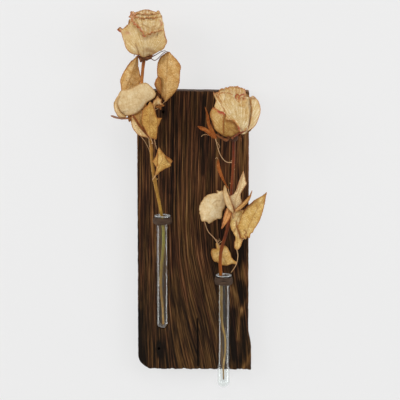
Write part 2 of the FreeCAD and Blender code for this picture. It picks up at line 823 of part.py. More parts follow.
def bent_rod(points, radius):
    """A round rod along straight runs joined by tangent arcs, as large as the runs allow."""
    points = [Vector(*p) for p in points]
    edges = []
    start = points[0]
    for before, corner, after in zip(points, points[1:], points[2:]):
        into = (corner - before).normalize()
        out = (after - corner).normalize()
        turn = into.getAngle(out)
        cut = BEND_SHARE * min((corner - before).Length, (after - corner).Length)
        first = corner - into * cut
        last = corner + out * cut
        bend_radius = cut / math.tan(turn / 2)
        inward = (out - into).normalize()
        middle = corner + inward * (bend_radius / math.cos(turn / 2) - bend_radius)
        edges.append(Part.makeLine(start, first))
        edges.append(Part.Arc(first, middle, last).toShape())
        start = last
    edges.append(Part.makeLine(start, points[-1]))
    path = Part.Wire(edges)
    section = Part.Wire(Part.makeCircle(radius, points[0], points[1] - points[0]))
    rod = path.makePipeShell([section], True, False)
    expected = math.pi * radius**2 * path.Length
    if abs(rod.Volume - expected) > 0.02 * expected:
        raise RuntimeError("a stem's volume is not its section times its length")
    return rod


def blade(length, width, bow, depth):
    """A pointed leaf blade of even thickness, along X from its base at the origin, bowed in Z."""
    half = width / 2
    belly = length * BLADE_BELLY
    upper = Part.Arc(Vector(0, 0, 0), Vector(belly, half, 0), Vector(length, 0, 0))
    lower = Part.Arc(Vector(length, 0, 0), Vector(belly, -half, 0), Vector(0, 0, 0))
    outline = Part.Face(Part.Wire([upper.toShape(), lower.toShape()]))
    room = 2 * (bow + depth)
    slab = outline.translated(Vector(0, 0, -room)).extrude(Vector(0, 0, 2 * room))
    radius = (length**2 / 4 + bow**2) / (2 * bow)
    axis_point = Vector(length / 2, -width, bow - radius)
    along = Vector(0, 1, 0)
    outer = Part.makeCylinder(radius + depth / 2, 2 * width, axis_point, along)
    inner = Part.makeCylinder(radius - depth / 2, 2 * width, axis_point, along)
    return slab.common(outer.cut(inner))


def leaf_place(leaf):
    """Puts a blade at its base, pointing at its tip, with its bowed side towards the viewer."""
    base = Vector(*leaf["base"])
    along = (Vector(*leaf["tip"]) - base).normalize()
    facing = Vector(0, -1, 0)
    facing = (facing - along * facing.dot(along)).normalize()
    facing = Rotation(along, leaf["roll"]).multVec(facing)
    side = facing.cross(along)
    return Placement(base, Rotation(along, side, facing, "ZXY"))


def leaf_length(leaf):
    return (Vector(*leaf["tip"]) - Vector(*leaf["base"])).Length


def stalk_end(leaf, seat):
    """The point in the middle of a blade, a little way in from its base."""
    length = leaf_length(leaf)
    rise = 4 * leaf["bow"] * seat * (length - seat) / length**2
    return tuple(leaf_place(leaf).multVec(Vector(seat, 0, rise)))


def make_stalks(sheet, side, stem, hip):
    """Every leaf stalk and loose tendril of one rose, each cut where it enters what carries it."""
    routes = list(TENDRILS[side])
    for label, leaf in LEAVES.items():
        if label.startswith(side):
            routes.append(leaf["stalk"] + [stalk_end(leaf, sheet.stalk_seat)])
    stalks = []
    for route in routes:
        rod = bent_rod(route, sheet.petiole_radius)
        stalks.append(trimmed(rod, [stem, hip] + stalks, f"a {side} stalk"))
    return Part.makeCompound(stalks)


def bloom_place(side):
    spec = BLOOMS[side]
    lean = Rotation(Vector(0, 1, 0), spec["lean_right"])
    forward = Rotation(Vector(1, 0, 0), spec["lean_forward"])
    return Placement(Vector(*spec["base"]), lean.multiply(forward))


def make_hip(sheet):
    """The rose hip, and above it the cone that carries the petals."""
    outline = []
    for across, up in HIP_OUTLINE:
        height = up * (sheet.hip_height if up < 0 else sheet.hip_core)
        outline.append(Vector(across * sheet.hip_radius, 0, height))
    return turned_solid(outline)


def make_heart(sheet, radius, height):
    """The closed bud in the middle of a bloom, standing on the hip's cone."""
    core_top = Vector(HIP_OUTLINE[-1][0] * sheet.hip_radius, 0, sheet.hip_core)
    outline = [Vector(across * radius, 0, up * height) for across, up in HEART_OUTLINE]
    return turned_solid([core_top, *outline])


def make_sepals(sheet, hip):
    """Leaflets that stand out round the hip, one compound of separate blades."""
    sepals = []
    for k in range(SEPALS_ROUND):
        angle = math.pi * (2 * k + 1) / SEPALS_ROUND
        out = Vector(math.cos(angle), math.sin(angle), 0)
        base = out * (sheet.hip_radius - sheet.sepal_seat) - Vector(0, 0, sheet.sepal_root_drop)
        tip = out * sheet.sepal_length - Vector(0, 0, sheet.sepal_tip_drop)
        shape = blade((tip - base).Length, sheet.sepal_width, sheet.sepal_bow, sheet.leaf_depth)
        along = (tip - base).normalize()
        side_way = Vector(0, 0, 1).cross(along)
        shape.Placement = Placement(base, Rotation(along, side_way, Vector(0, 0, 1), "XYZ"))
        sepals.append(trimmed(shape, [hip], "a sepal"))
    return Part.makeCompound(sepals)


def make_petal_layer(sheet, radius, height, layer, hip):
    """Petals of one layer: strips of a bloom's outline, turned part of the way round the hip."""
    inset = layer["inset"] * sheet.petal_gap
    rise = layer["rise"]
    tall = layer["reach"] * height
    outer = []
    for across, up in PETAL_OUTLINE:
        outer.append(Vector(max(across * radius - inset, sheet.petal_least), 0, up * tall + rise))
    slant = Vector(PETAL_SLANT[0], 0, PETAL_SLANT[1]) * sheet.petal_depth
    inner = [p + slant for p in outer]
    edges = [
        spline(outer),
        Part.makeLine(outer[-1], inner[-1]),
        spline(inner[::-1]),
        Part.makeLine(inner[0], outer[0]),
    ]
    strip = Part.Face(Part.Wire(edges))
    petals = []
    for k in range(PETALS_ROUND):
        petal = strip.revolve(Vector(0, 0, 0), Vector(0, 0, 1), sheet.petal_span)
        petal.rotate(Vector(0, 0, 0), Vector(0, 0, 1), layer["turn"] + k * 360 / PETALS_ROUND)
        petals.append(trimmed(petal, [hip], "a petal"))
    return petals


def make_rose(doc, sheet, side, points):
    """One dried rose, as separate pieces: stem, hip, sepals, petals, heart, stalks and leaves."""
    radius = sheet.get(f"{side}_head_radius")
    height = sheet.get(f"{side}_head_height")
    place = bloom_place(side)
    stem = bent_rod(points, sheet.get(f"{side}_stem_radius"))
    solid_hip = make_hip(sheet)

    hip = solid_hip.copy()
    hip.Placement = place
    hip = trimmed(hip, [stem], f"{side} hip")
    add_shape(doc, f"{side}_rose_stem", stem)
    add_shape(doc, f"{side}_rose_hip", hip)

    pieces = {
        "sepals": make_sepals(sheet, solid_hip),
        "heart": make_heart(sheet, radius, height),
    }
    for name, layers in PETAL_LAYERS.items():
        petals = []
        for layer in layers:
            petals += make_petal_layer(sheet, radius, height, layer, solid_hip)
        pieces[name] = Part.makeCompound(petals)
    for name, shape in pieces.items():
        shape.Placement = place
        add_shape(doc, f"{side}_rose_{name}", shape)

    stalks = make_stalks(sheet, side, stem, hip)
    add_shape(doc, f"{side}_rose_petioles", stalks)
    for label, leaf in LEAVES.items():
        if label.startswith(side):
            shape = blade(leaf_length(leaf), leaf["width"], leaf["bow"], sheet.leaf_depth)
            shape.Placement = leaf_place(leaf)
            add_shape(doc, label, trimmed(shape, [stem] + stalks.Solids, label))


# ---- The whole object ------------------------------------------------------------------------


def is_sub_part(piece):
    inside_body = piece.getParentGeoFeatureGroup() is not None
    kinds = ("PartDesign::Body", "Part::Feature")
    return piece.TypeId in kinds and not inside_body


def write_parts(doc):
    """Checks every object and sub-part, then writes each sub-part to its own file."""
    for item in doc.Objects:
        if "Invalid" in item.State or "Error" in item.State:
            raise RuntimeError(f"{item.Label} failed to build: {item.State}")
    os.makedirs("parts", exist_ok=True)
    pieces = [p for p in doc.Objects if is_sub_part(p)]
    for piece in pieces:
        if piece.Shape.isNull() or not piece.Shape.isValid():
            raise RuntimeError(f"{piece.Label} has no valid shape")
    for piece in pieces:
        piece.Shape.exportStep(os.path.join("parts", piece.Label + ".step"))
        print(f"{piece.Label:26s} {len(piece.Shape.Solids)} solid(s) {piece.Shape.Volume:10.1f} mm3")


def main():
    doc = FreeCAD.newDocument("flower_tubes")
    sheet = make_sheet(doc)
    make_board(doc)
    make_plate(doc, sheet)
    make_screws(doc, sheet)
    sides = {"left": "-sizes.tube_spread / 2", "right": "sizes.tube_spread / 2"}
    for side, across in sides.items():
        make_ring(doc, sheet, side, across)
        make_peg(doc, side, across)
        make_tube(doc, sheet, side, across)
    make_rose(doc, sheet, "left", LEFT_STEM)
    make_rose(doc, sheet, "right", RIGHT_STEM)
    doc.recompute()
    write_parts(doc)
    return doc


main()
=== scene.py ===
import math
import bmesh
import bpy
import numpy as np
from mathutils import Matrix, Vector, noise
from mathutils.geometry import delaunay_2d_cdt


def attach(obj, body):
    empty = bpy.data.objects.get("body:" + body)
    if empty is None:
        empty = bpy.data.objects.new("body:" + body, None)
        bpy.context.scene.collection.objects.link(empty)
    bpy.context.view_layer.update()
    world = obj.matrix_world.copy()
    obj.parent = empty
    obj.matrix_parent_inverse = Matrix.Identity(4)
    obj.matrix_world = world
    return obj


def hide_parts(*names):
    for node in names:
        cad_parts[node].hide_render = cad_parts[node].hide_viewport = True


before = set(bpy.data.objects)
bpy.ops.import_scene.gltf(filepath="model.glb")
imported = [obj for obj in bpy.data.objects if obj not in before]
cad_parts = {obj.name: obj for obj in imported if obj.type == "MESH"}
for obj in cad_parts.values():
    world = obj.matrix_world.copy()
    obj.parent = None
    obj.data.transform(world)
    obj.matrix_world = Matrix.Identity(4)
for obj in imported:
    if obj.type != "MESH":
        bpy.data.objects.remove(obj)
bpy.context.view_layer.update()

mm = 0.001
scene = bpy.context.scene

# X runs right, Y into the wall, Z up. Shapes are worked out in millimetres and made in metres.

camera = {
    "aim": (8.9, -35.0, -101.6),   # mm, seen in the middle of the picture
    "distance": 3341.0,
    "above": 11.0,                 # degrees that the camera looks down
    "sensor": 36.0,
    "lens": 234.0,
    "picture": 400.0,              # pixels across the photograph
}


def cameraPlace():
    down = math.radians(camera["above"])
    back = Vector((0, -math.cos(down), math.sin(down)))
    return Vector(camera["aim"]) + back * camera["distance"], back


def seenPlaces(spots, depths):
    # the places in mm that the camera sees at these pixels of the photograph, each at its own Y
    place, back = cameraPlace()
    up = Vector((0, back.z, -back.y))
    half = camera["picture"] / 2
    scale = camera["sensor"] / camera["lens"] / camera["picture"]
    rays = np.outer((spots[:, 0] - half) * scale, (1, 0, 0))
    rays += np.outer((half - spots[:, 1]) * scale, tuple(up))
    rays -= np.array(back)
    return np.array(place) + rays * ((depths - place.y) / rays[:, 1])[:, None]


def seenLine(points):
    # a run of pixels with their depths, as places in mm
    points = np.array(points, float)
    return [tuple(place) for place in seenPlaces(points[:, :2], points[:, 2])]


def addCamera():
    place, back = cameraPlace()
    data = bpy.data.cameras.new("camera")
    data.lens = camera["lens"]
    data.sensor_width = camera["sensor"]
    data.clip_end = 20
    eye = bpy.data.objects.new("camera", data)
    eye.location = place * mm
    eye.rotation_euler = back.to_track_quat("Z", "Y").to_euler()
    scene.collection.objects.link(eye)
    scene.camera = eye


def colour(text):
    # an sRGB hex value as linear light
    parts = [int(text[i:i + 2], 16) / 255 for i in (1, 3, 5)]
    return [c / 12.92 if c <= 0.04045 else ((c + 0.055) / 1.055) ** 2.4 for c in parts] + [1]


def addNode(tree, kind, settings):
    # a node or a socket among the settings is linked, and any other value is set
    added = tree.nodes.new("ShaderNode" + kind)
    for key, value in settings.items():
        if isinstance(value, bpy.types.Node):
            value = value.outputs[0]
        if isinstance(value, bpy.types.NodeSocket):
            tree.links.new(value, added.inputs[key])
        elif key == "stops":
            points = added.color_ramp.elements
            while len(points) < len(value):
                points.new(1)
            for point, (place, shade) in zip(points, value):
                point.position = place
                point.color = colour(shade) if isinstance(shade, str) else (shade, shade, shade, 1)
        elif hasattr(added, str(key)):
            setattr(added, key, value)
        else:
            added.inputs[key].default_value = value
    return added


def newMaterial(name):
    material = bpy.data.materials.new(name)
    material.use_nodes = True
    material.node_tree.nodes.clear()
    return material, material.node_tree


def finishMaterial(material, tree, shader):
    addNode(tree, "OutputMaterial", {"Surface": shader})
    return material


# Stage: a pale wall behind the object, a pale floor well below it and large soft lamps.

stage = {
    "wallColour": "#eeeeee",
    "wallGlow": 0.76,        # share of the wall's whiteness that doesn't come from the lamps
    "wallSize": 6.0,         # m
    "wallGap": 0.0015,
    "floorDrop": 1.6,
    "worldColour": "#f2f2f1",
    "worldStrength": 0.38,
    "lamps": {
        "left": {"place": (-2.3, -1.7, 0.9), "size": (1.5, 1.5), "power": 31.0},
        "right": {"place": (2.3, -1.7, 0.7), "size": (1.5, 1.5), "power": 26.0},
        "top": {"place": (0.2, -1.9, 2.4), "size": (1.4, 1.4), "power": 20.0},
        "rear": {"place": (0.4, 2.2, 1.2), "size": (1.8, 1.8), "power": 26.0},
        # narrow lamps beside the wall, for the bright lines down the glass
        "leftStrip": {"place": (-1.4, -0.13, -0.15), "size": (0.22, 1.3), "power": 5.5},
        "rightStrip": {"place": (1.4, -0.13, -0.15), "size": (0.22, 1.3), "power": 5.5},
    },
}


def palePaint(name, oneSided):
    # matt paint with a glow of its own, so that it keeps one even white
    material, tree = newMaterial(name)
    white = colour(stage["wallColour"])
    matt = addNode(tree, "BsdfDiffuse", {"Color": white})
    glow = addNode(tree, "Emission", {"Color": white, "Strength": 1.0})
    shown = addNode(tree, "MixShader", {0: stage["wallGlow"], 1: matt, 2: glow})
    if oneSided:
        rays = addNode(tree, "LightPath", {})
        side = addNode(tree, "NewGeometry", {})
        seen = rays.outputs["Is Camera Ray"]
        for ray in ("Is Glossy Ray", "Is Transmission Ray"):
            seen = addNode(tree, "Math", {"operation": "MAXIMUM", 0: seen, 1: rays.outputs[ray]})
        front = addNode(tree, "Math", {"operation": "SUBTRACT", 0: 1.0, 1: side.outputs["Backfacing"]})
        seen = addNode(tree, "Math", {"operation": "MULTIPLY", 0: seen, 1: front})
        clear = addNode(tree, "BsdfTransparent", {})
        shown = addNode(tree, "MixShader", {0: seen, 1: clear, 2: shown})
    return finishMaterial(material, tree, shown)


def addPlane(name, corners, material):
    data = bpy.data.meshes.new(name)
    data.from_pydata(corners, [], [(0, 1, 2, 3)])
    data.materials.append(material)
    plane = bpy.data.objects.new(name, data)
    scene.collection.objects.link(plane)


def addStage():
    half = stage["wallSize"] / 2
    back = stage["wallGap"]
    low = -stage["floorDrop"]
    wall = [(-half, back, low), (half, back, low), (half, back, half), (-half, back, half)]
    addPlane("wall", wall, palePaint("paleWallPaint", True))
    ground = [(-half, -half, low), (half, -half, low), (half, half, low), (-half, half, low)]
    addPlane("floor", ground, palePaint("paleFloorPaint", False))
    world = bpy.data.worlds.new("paleRoom")
    world.use_nodes = True
    tree = world.node_tree
    tree.nodes.clear()
    pale = colour(stage["worldColour"])
    sky = addNode(tree, "Background", {"Color": pale, "Strength": stage["worldStrength"]})
    addNode(tree, "OutputWorld", {"Surface": sky})
    scene.world = world
    for name, lamp in stage["lamps"].items():
        data = bpy.data.lights.new(name, "AREA")
        data.shape = "RECTANGLE"
        data.size, data.size_y = lamp["size"]
        data.energy = lamp["power"]
        made = bpy.data.objects.new(name, data)
        made.location = lamp["place"]
        aim = Vector(camera["aim"]) * mm - made.location
        made.rotation_euler = aim.to_track_quat("-Z", "Y").to_euler()
        scene.collection.objects.link(made)
    scene.view_settings.view_transform = "Standard"


addCamera()
addStage()
print("stage ready")


def walked(line):
    # how far along a line each of its points lies
    return np.concatenate([[0], np.cumsum(np.linalg.norm(np.diff(line, axis=0), axis=1))])


def smoothPath(points, count, closed=False):
    # count points, evenly spaced, on a smooth curve through the points
    p = np.array(points, float)
    ends = [p[-1:], p[:1], p[1:2]] if closed else [2 * p[:1] - p[1:2], 2 * p[-1:] - p[-2:-1]]
    padded = np.vstack([ends[0], p, *ends[1:]])
    t = np.linspace(0, 1, 20, endpoint=False)[:, None]
    spans = []
    for a, b, c, d in zip(padded, padded[1:], padded[2:], padded[3:]):
        bend = (2 * a - 5 * b + 4 * c - d) * t**2 + (3 * b - a - 3 * c + d) * t**3
        spans.append(0.5 * (2 * b + (c - a) * t + bend))
    fine = np.vstack(spans + [padded[-2:-1]])
    run = walked(fine)
    at = np.linspace(0, run[-1], count)
    return np.column_stack([np.interp(at, run, fine[:, k]) for k in range(fine.shape[1])])


def readOff(table, value, column=1):
    # what a table of rows gives at a value of its first column, by straight lines between rows
    rows = np.array(table, float)
    return np.interp(value, rows[:, 0], rows[:, column])


def ease(low, high, value):
    # 0 below low, 1 above high and smooth between them; low may be the larger
    t = np.clip((value - low) / (high - low), 0, 1)
    return t * t * (3 - 2 * t)


def ripple(x, y, z=0.0, rough=1):
    # smooth noise from about -1 to 1, with finer octaves where rough is over 1
    return noise.fractal(Vector((x, y, z)), 0.8, 2.1, rough) if rough > 1 else noise.noise(Vector((x, y, z)))


def newShape():
    return {"points": [], "faces": [], "values": {}}


def grow(shape, points, faces, values):
    # joins a patch onto a shape; values hold one number for each point
    first = len(shape["points"])
    shape["points"].extend(tuple(p) for p in points)
    shape["faces"].extend(tuple(first + i for i in face) for face in faces)
    for key, numbers in values.items():
        shape["values"].setdefault(key, []).extend(numbers)


def gridFaces(rows, columns, wrap=False, closed=False):
    # quads between rows of points; wrap joins each row's ends, and closed joins the last row to the first
    faces = []
    for i in range(rows if closed else rows - 1):
        low, high = i * columns, (i + 1) % rows * columns
        for j in range(columns if wrap else columns - 1):
            k = (j + 1) % columns
            faces.append((low + j, low + k, high + k, high + j))
    return faces


def addPiece(name, node, shape, material, body, thick=0.0):
    # a mesh piece on a body, in the place of a CAD node
    data = bpy.data.meshes.new(name)
    data.from_pydata([[c * mm for c in p] for p in shape["points"]], [], shape["faces"])
    for key, numbers in shape["values"].items():
        layer = data.attributes.new(key, "FLOAT", "POINT")
        layer.data.foreach_set("value", np.asarray(numbers, np.float32))
    data.materials.append(material)
    data.polygons.foreach_set("use_smooth", [True] * len(data.polygons))
    piece = bpy.data.objects.new(name, data)
    scene.collection.objects.link(piece)
    if thick:
        skin = piece.modifiers.new("thickness", "SOLIDIFY")
        skin.thickness = thick * mm
        skin.offset = 0
    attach(piece, body)
    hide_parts(node)
    return piece


def winding(loop):
    # 1 for an outline that runs anticlockwise and -1 for one that runs clockwise
    x, y = loop[:, 0], loop[:, 1]
    return 1 if np.sum(x * np.roll(y, -1) - np.roll(x, -1) * y) > 0 else -1


def insetLoop(loop, distance):
    # moves a closed outline inwards, along the mean normal of its two edges
    along = np.roll(loop, -1, axis=0) - np.roll(loop, 1, axis=0)
    along /= np.linalg.norm(along, axis=1)[:, None] + 1e-9
    inward = np.column_stack([-along[:, 1], along[:, 0]])
    return loop + inward * np.reshape(distance, (-1, 1)) * winding(loop)


def isInside(spots, ring):
    a, b = ring, np.roll(ring, -1, axis=0)
    x, y = spots[:, :1], spots[:, 1:]
    crosses = (a[:, 1] > y) != (b[:, 1] > y)
    rise = np.where(a[:, 1] == b[:, 1], 1e-9, b[:, 1] - a[:, 1])
    return np.sum(crosses & (x < a[:, 0] + (y - a[:, 1]) / rise * (b[:, 0] - a[:, 0])), axis=1) % 2 == 1


def nearest(spots, line):
    # distance from each spot to the nearest point of a line, and that point's number
    gaps = np.hypot(spots[:, :1] - line[:, 0], spots[:, 1:] - line[:, 1])
    return gaps.min(axis=1), gaps.argmin(axis=1)


def gridWithin(ring, stepX, stepY, clear):
    # spots in staggered rows inside an outline, none nearer to its points than clear
    columns = np.arange(ring[:, 0].min(), ring[:, 0].max(), stepX)
    kept = []
    for k, y in enumerate(np.arange(ring[:, 1].min(), ring[:, 1].max(), stepY)):
        row = np.column_stack([columns + stepX / 2 * (k % 2), np.full(len(columns), y)])
        row = row[isInside(row, ring)]
        kept.append(row[nearest(row, ring)[0] > clear])
    return np.vstack(kept)


def fillRegion(outer, holes, inner):
    # triangles over the region between an outline and its holes, with extra points inside
    points, faces = [], []
    for loop in (outer, *holes):
        ring = np.array(loop)
        faces.append(list(range(len(points), len(points) + len(ring))))
        points += [tuple(p) for p in ring[::winding(ring)]]
    points += inner
    made = delaunay_2d_cdt([Vector(p) for p in points], [], faces, 1, 1e-6, True)
    spots, triangles, sources = made[0], made[2], made[5]
    return [tuple(p) for p in spots], [t for t, source in zip(triangles, sources) if list(source) == [0]]


# The plank: brushed and stained softwood, its growth rings standing up as fine ridges.

plank = {
    "cell": (0.8, 2.5),          # mm between points, across and along the grain
    "rearCell": (4.0, 12.0),
    "depth": 19.0,
    "relief": 0.5,               # how deep the soft wood is brushed away
    "outlineStep": 1.2,
    # how far in and how far back each row of points round the edge lies
    "rows": (
        (0.9, 0), (0.3, 0.2), (0, 0.8), (0, 5), (0, 9.5), (0, 14), (0, 18.3), (0.3, 18.8), (0.8, 19),
    ),
    # how deep the saw cut and worn edges wander, and how long each notch is
    "ragged": {"side": (0.35, 9), "top": (0.35, 9), "bottom": (1.5, 5)},
    "edgeBand": 4.0,             # mm of the outline at each end that is cut across the grain
    # how many growth rings lie left of each place: close at the left, wide right of the middle
    "rings": ((-76, 0), (-58, 4.6), (-40, 9), (-10, 14.2), (12, 18), (38, 21.4), (50, 24), (76, 32)),
    # at each height the shift of the grain, and across the plank the share of it that is taken
    "lean": ((-331, 30), (-261, 17), (-226, 9), (-177, -1), (-125, -5), (-60, -4), (45, 0)),
    "leanShare": ((-76, 0), (-40, 0.12), (-10, 0.7), (8, 1), (40, 1), (76, 0.45)),
    "sawnSlope": 0.6,            # how far the rings run sideways for each mm into the plank
    # waves in the grain: amount, mm across, mm along, seed
    "ringWaves": ((0.40, 5, 100, 3.1), (0.14, 2, 45, 8.7)),
    "strengthWaves": ((1.5, 4, 90, 5.3),),
    "fineWaves": ((0.8, 0.9, 55, 2.9), (0.7, 1.9, 70, 4.9)),
    "patchWaves": ((0.14, 16, 120, 6.3),),
    "ringSharpness": 3.4,
    "ringStrength": 0.9,
    "lowBand": (-110, -250),     # heights between which the grain turns softer and finer
    "paleCorner": {"across": (44, 60), "height": (-120, -60), "tone": 0.24},
    # soft light or dark marks in the grain: half width, tone and the points along each
    "marks": (
        (3.6, 0.30, (50, -221), (57, -234), (63, -251)),
        (2.6, 0.26, (69, -238), (63, -251), (60, -262), (58, -290)),
        (6.0, 0.30, (65, -190), (66, -212)),
        (3.0, 0.30, (66, -329), (71, -320), (75, -311)),
        (9.0, -0.34, (58, -144), (61, -170), (60, -186)),
        (4.0, -0.42, (62, -214), (64, -232), (63, -243)),
        (4.5, -0.34, (52, -252), (50, -280), (53, -315)),
        (4.0, -0.25, (64, -262), (66, -290), (62, -318)),
        (5.0, -0.40, (-70, -255), (-71, -285), (-67, -318)),
        (3.0, -0.34, (-45, -296), (-44, -312)),
        (3.2, -0.28, (13, 30), (13, -20), (12, -70)),
        (3.0, -0.20, (-24, 30), (-26, -30), (-30, -95)),
        (7.0, -0.20, (38, -120), (33, -200), (40, -260)),
        (5.0, 0.14, (22, -215), (28, -262), (36, -318)),
        (6.0, 0.12, (-22, -250), (-14, -290), (-6, -322)),
    ),
    "crack": {"line": ((5.6, -262), (6.0, -290), (6.3, -326)), "width": 0.55, "depth": 2.2, "tone": -0.55},
    "nails": ((-38.3, 10.5), (-44.8, -302.4)),
    "nailStain": {"wide": 5.0, "tall": 9.0, "tone": -0.35},
}


def grainAcross(x, z, y):
    # where a spot lies across the grain once its lean is taken out
    shift = readOff(plank["lean"], z) * readOff(plank["leanShare"], x)
    return x - shift + plank["sawnSlope"] * (y + plank["depth"])


def fromLine(x, z, line):
    # how far a spot is from a run of points
    best = math.inf
    for (ax, az), (bx, bz) in zip(line, line[1:]):
        t = ((x - ax) * (bx - ax) + (z - az) * (bz - az)) / ((bx - ax) ** 2 + (bz - az) ** 2)
        t = min(max(t, 0), 1)
        best = min(best, math.hypot(x - ax - t * (bx - ax), z - az - t * (bz - az)))
    return best


def grainWaves(kind, g, z):
    return sum(amount * ripple(g / wide, z / tall, seed) for amount, wide, tall, seed in plank[kind])


def grainTone(x, y, z):
    # 0 in the darkest soft wood to 1 on the lightest ring, how deep the brush went, and the place across
    g = grainAcross(x, z, y)
    turns = readOff(plank["rings"], g) + grainWaves("ringWaves", g, z)
    ridge = (0.5 + 0.5 * math.cos(2 * math.pi * turns)) ** plank["ringSharpness"]
    ridge *= plank["ringStrength"] + grainWaves("strengthWaves", g, z)
    fine = grainWaves("fineWaves", g, z)
    low = float(ease(*plank["lowBand"], z))
    tone = 0.26 + (0.27 - 0.15 * low) * ridge + (0.19 + 0.04 * low) * fine + grainWaves("patchWaves", g, z)
    corner = plank["paleCorner"]
    tone += corner["tone"] * float(ease(*corner["across"], g)) * float(ease(*corner["height"], z))
    for width, amount, *line in plank["marks"]:
        reach = fromLine(x, z, line) / width * (1 + 0.35 * ripple(g / 3, z / 30, 1.7))
        tone += amount * math.exp(-reach * reach)
    stain = plank["nailStain"]
    for nx, nz in plank["nails"]:
        tone += stain["tone"] * math.exp(-(((x - nx) / stain["wide"]) ** 2) - ((z - nz) / stain["tall"]) ** 2)
    soft = 0.8 - 0.5 * ridge - 0.2 * fine
    return tone, min(max(soft, 0), 1), g


def boundaryLoops(bm):
    # the open edges of a mesh, as ordered loops of places in mm
    nextTo = {}
    for edge in bm.edges:
        if edge.is_boundary:
            a, b = edge.verts
            nextTo.setdefault(a, []).append(b)
            nextTo.setdefault(b, []).append(a)
    loops, used = [], set()
    for start in nextTo:
        if start in used:
            continue
        loop, last, here = [], None, start
        while here not in used:
            used.add(here)
            loop.append(tuple(c / mm for c in here.co))
            ways = [v for v in nextTo[here] if v != last and v not in used]
            last, here = here, ways[0] if ways else start
        loops.append(loop)
    return loops


def boxRound(hole):
    return (*np.min(hole, axis=0), *np.max(hole, axis=0))


def fromBox(x, z, box):
    # how far a spot is from the box round a hole
    lowX, lowZ, highX, highZ = box
    return math.hypot(max(lowX - x, x - highX, 0), max(lowZ - z, z - highZ, 0))


def faceReach(face):
    # the front and the back of a face, in mm
    depths = [v.co.y / mm for v in face.verts]
    return min(depths), max(depths)


def dressWood(points, boxes):
    # the relief of brushed grain on the front, and the numbers that the stain is mixed by
    crack = plank["crack"]
    dressed, values = [], {"tone": [], "across": [], "along": []}
    for x, y, z in points:
        tone, soft, g = grainTone(x, y, z)
        if y < 1.0 - plank["depth"]:
            clear = min([fromBox(x, z, box) for box in boxes] + [9.0])
            gap = fromLine(x, z, crack["line"]) / crack["width"]
            tone += crack["tone"] * math.exp(-gap * gap / 2.5)
            y += plank["relief"] * soft * float(ease(0.0, 2.0, clear)) + crack["depth"] * math.exp(-gap * gap)
        dressed.append((x, y, z))
        for key, number in (("tone", tone), ("across", g), ("along", z)):
            values[key].append(number)
    return dressed, values


def boardMesh():
    # the CAD plank's outline, holes and rear recess, with worn edges and a brushed front
    depth = plank["depth"]
    bm = bmesh.new()
    bm.from_mesh(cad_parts["backboard"].data)
    bmesh.ops.remove_doubles(bm, verts=bm.verts, dist=2e-6)
    flat = [f for f in bm.faces if faceReach(f)[1] < 0.01 - depth or faceReach(f)[0] > -0.01]
    bmesh.ops.delete(bm, geom=flat, context="FACES")
    loops = sorted(boundaryLoops(bm), key=lambda loop: min(p[0] for p in loop))
    spans = [f for f in bm.faces if faceReach(f)[1] - faceReach(f)[0] > depth - 0.1]
    bmesh.ops.delete(bm, geom=spans, context="FACES")
    outline, *frontHoles = [[(x, z) for x, y, z in loop] for loop in loops if loop[0][1] < -depth / 2]
    rearHoles = [[(x, z) for x, y, z in loop] for loop in loops if loop[0][1] > -depth / 2][1:]

    corners = np.array(outline + outline[:1])
    run = walked(corners)
    at = np.arange(0, run[-1] - 0.5, plank["outlineStep"])
    edge = np.column_stack([np.interp(at, run, corners[:, k]) for k in range(2)])
    for _ in range(2):
        edge = (np.roll(edge, 1, axis=0) + edge * 2 + np.roll(edge, -1, axis=0)) / 4
    lowest = edge[:, 1].min() + plank["edgeBand"]
    highest = edge[:, 1].max() - plank["edgeBand"]
    wander = []
    for x, z in edge:
        deep, size = plank["ragged"]["bottom" if z < lowest else "top" if z > highest else "side"]
        wander.append(deep * max(0.0, 0.35 + ripple(x / size, z / size, 2.2, 3)))
    edge = insetLoop(edge, wander)

    shape = newShape()
    frontBoxes = [boxRound(hole) for hole in frontHoles]
    rings = [insetLoop(edge, row[0]) if row[0] else edge for row in plank["rows"]]
    walls = [(x, row[1] - depth, z) for ring, row in zip(rings, plank["rows"]) for x, z in ring]
    points, values = dressWood(walls, frontBoxes)
    grow(shape, points, gridFaces(len(rings), len(edge), True), values)
    faces = ((rings[0], frontHoles, plank["cell"], -depth), (rings[-1], rearHoles, plank["rearCell"], 0.0))
    for ring, holes, (cellX, cellZ), y in faces:
        grid = gridWithin(ring, cellX, cellZ, 0.6 * min(cellX, cellZ)).tolist()
        boxes = [boxRound(hole) for hole in holes]
        inner = [(x, z) for x, z in grid if all(fromBox(x, z, box) > 0.4 * cellX for box in boxes)]
        found, triangles = fillRegion(ring, holes, inner)
        points, values = dressWood([(x, y, z) for x, z in found], frontBoxes)
        grow(shape, points, triangles, values)
    kept = [tuple(c / mm for c in v.co) for v in bm.verts]
    bm.verts.index_update()
    inHoles = [[v.index for v in f.verts] for f in bm.faces]
    # painted shade: the walls and floors of the holes and the rear recess are nearly black, lighter only at
    # the back face
    tones = [0.05 if p[1] < -0.5 else 0.4 for p in kept]
    grow(shape, kept, inHoles, {"tone": tones, "across": [p[0] for p in kept], "along": [p[2] for p in kept]})
    bm.free()
    return shape


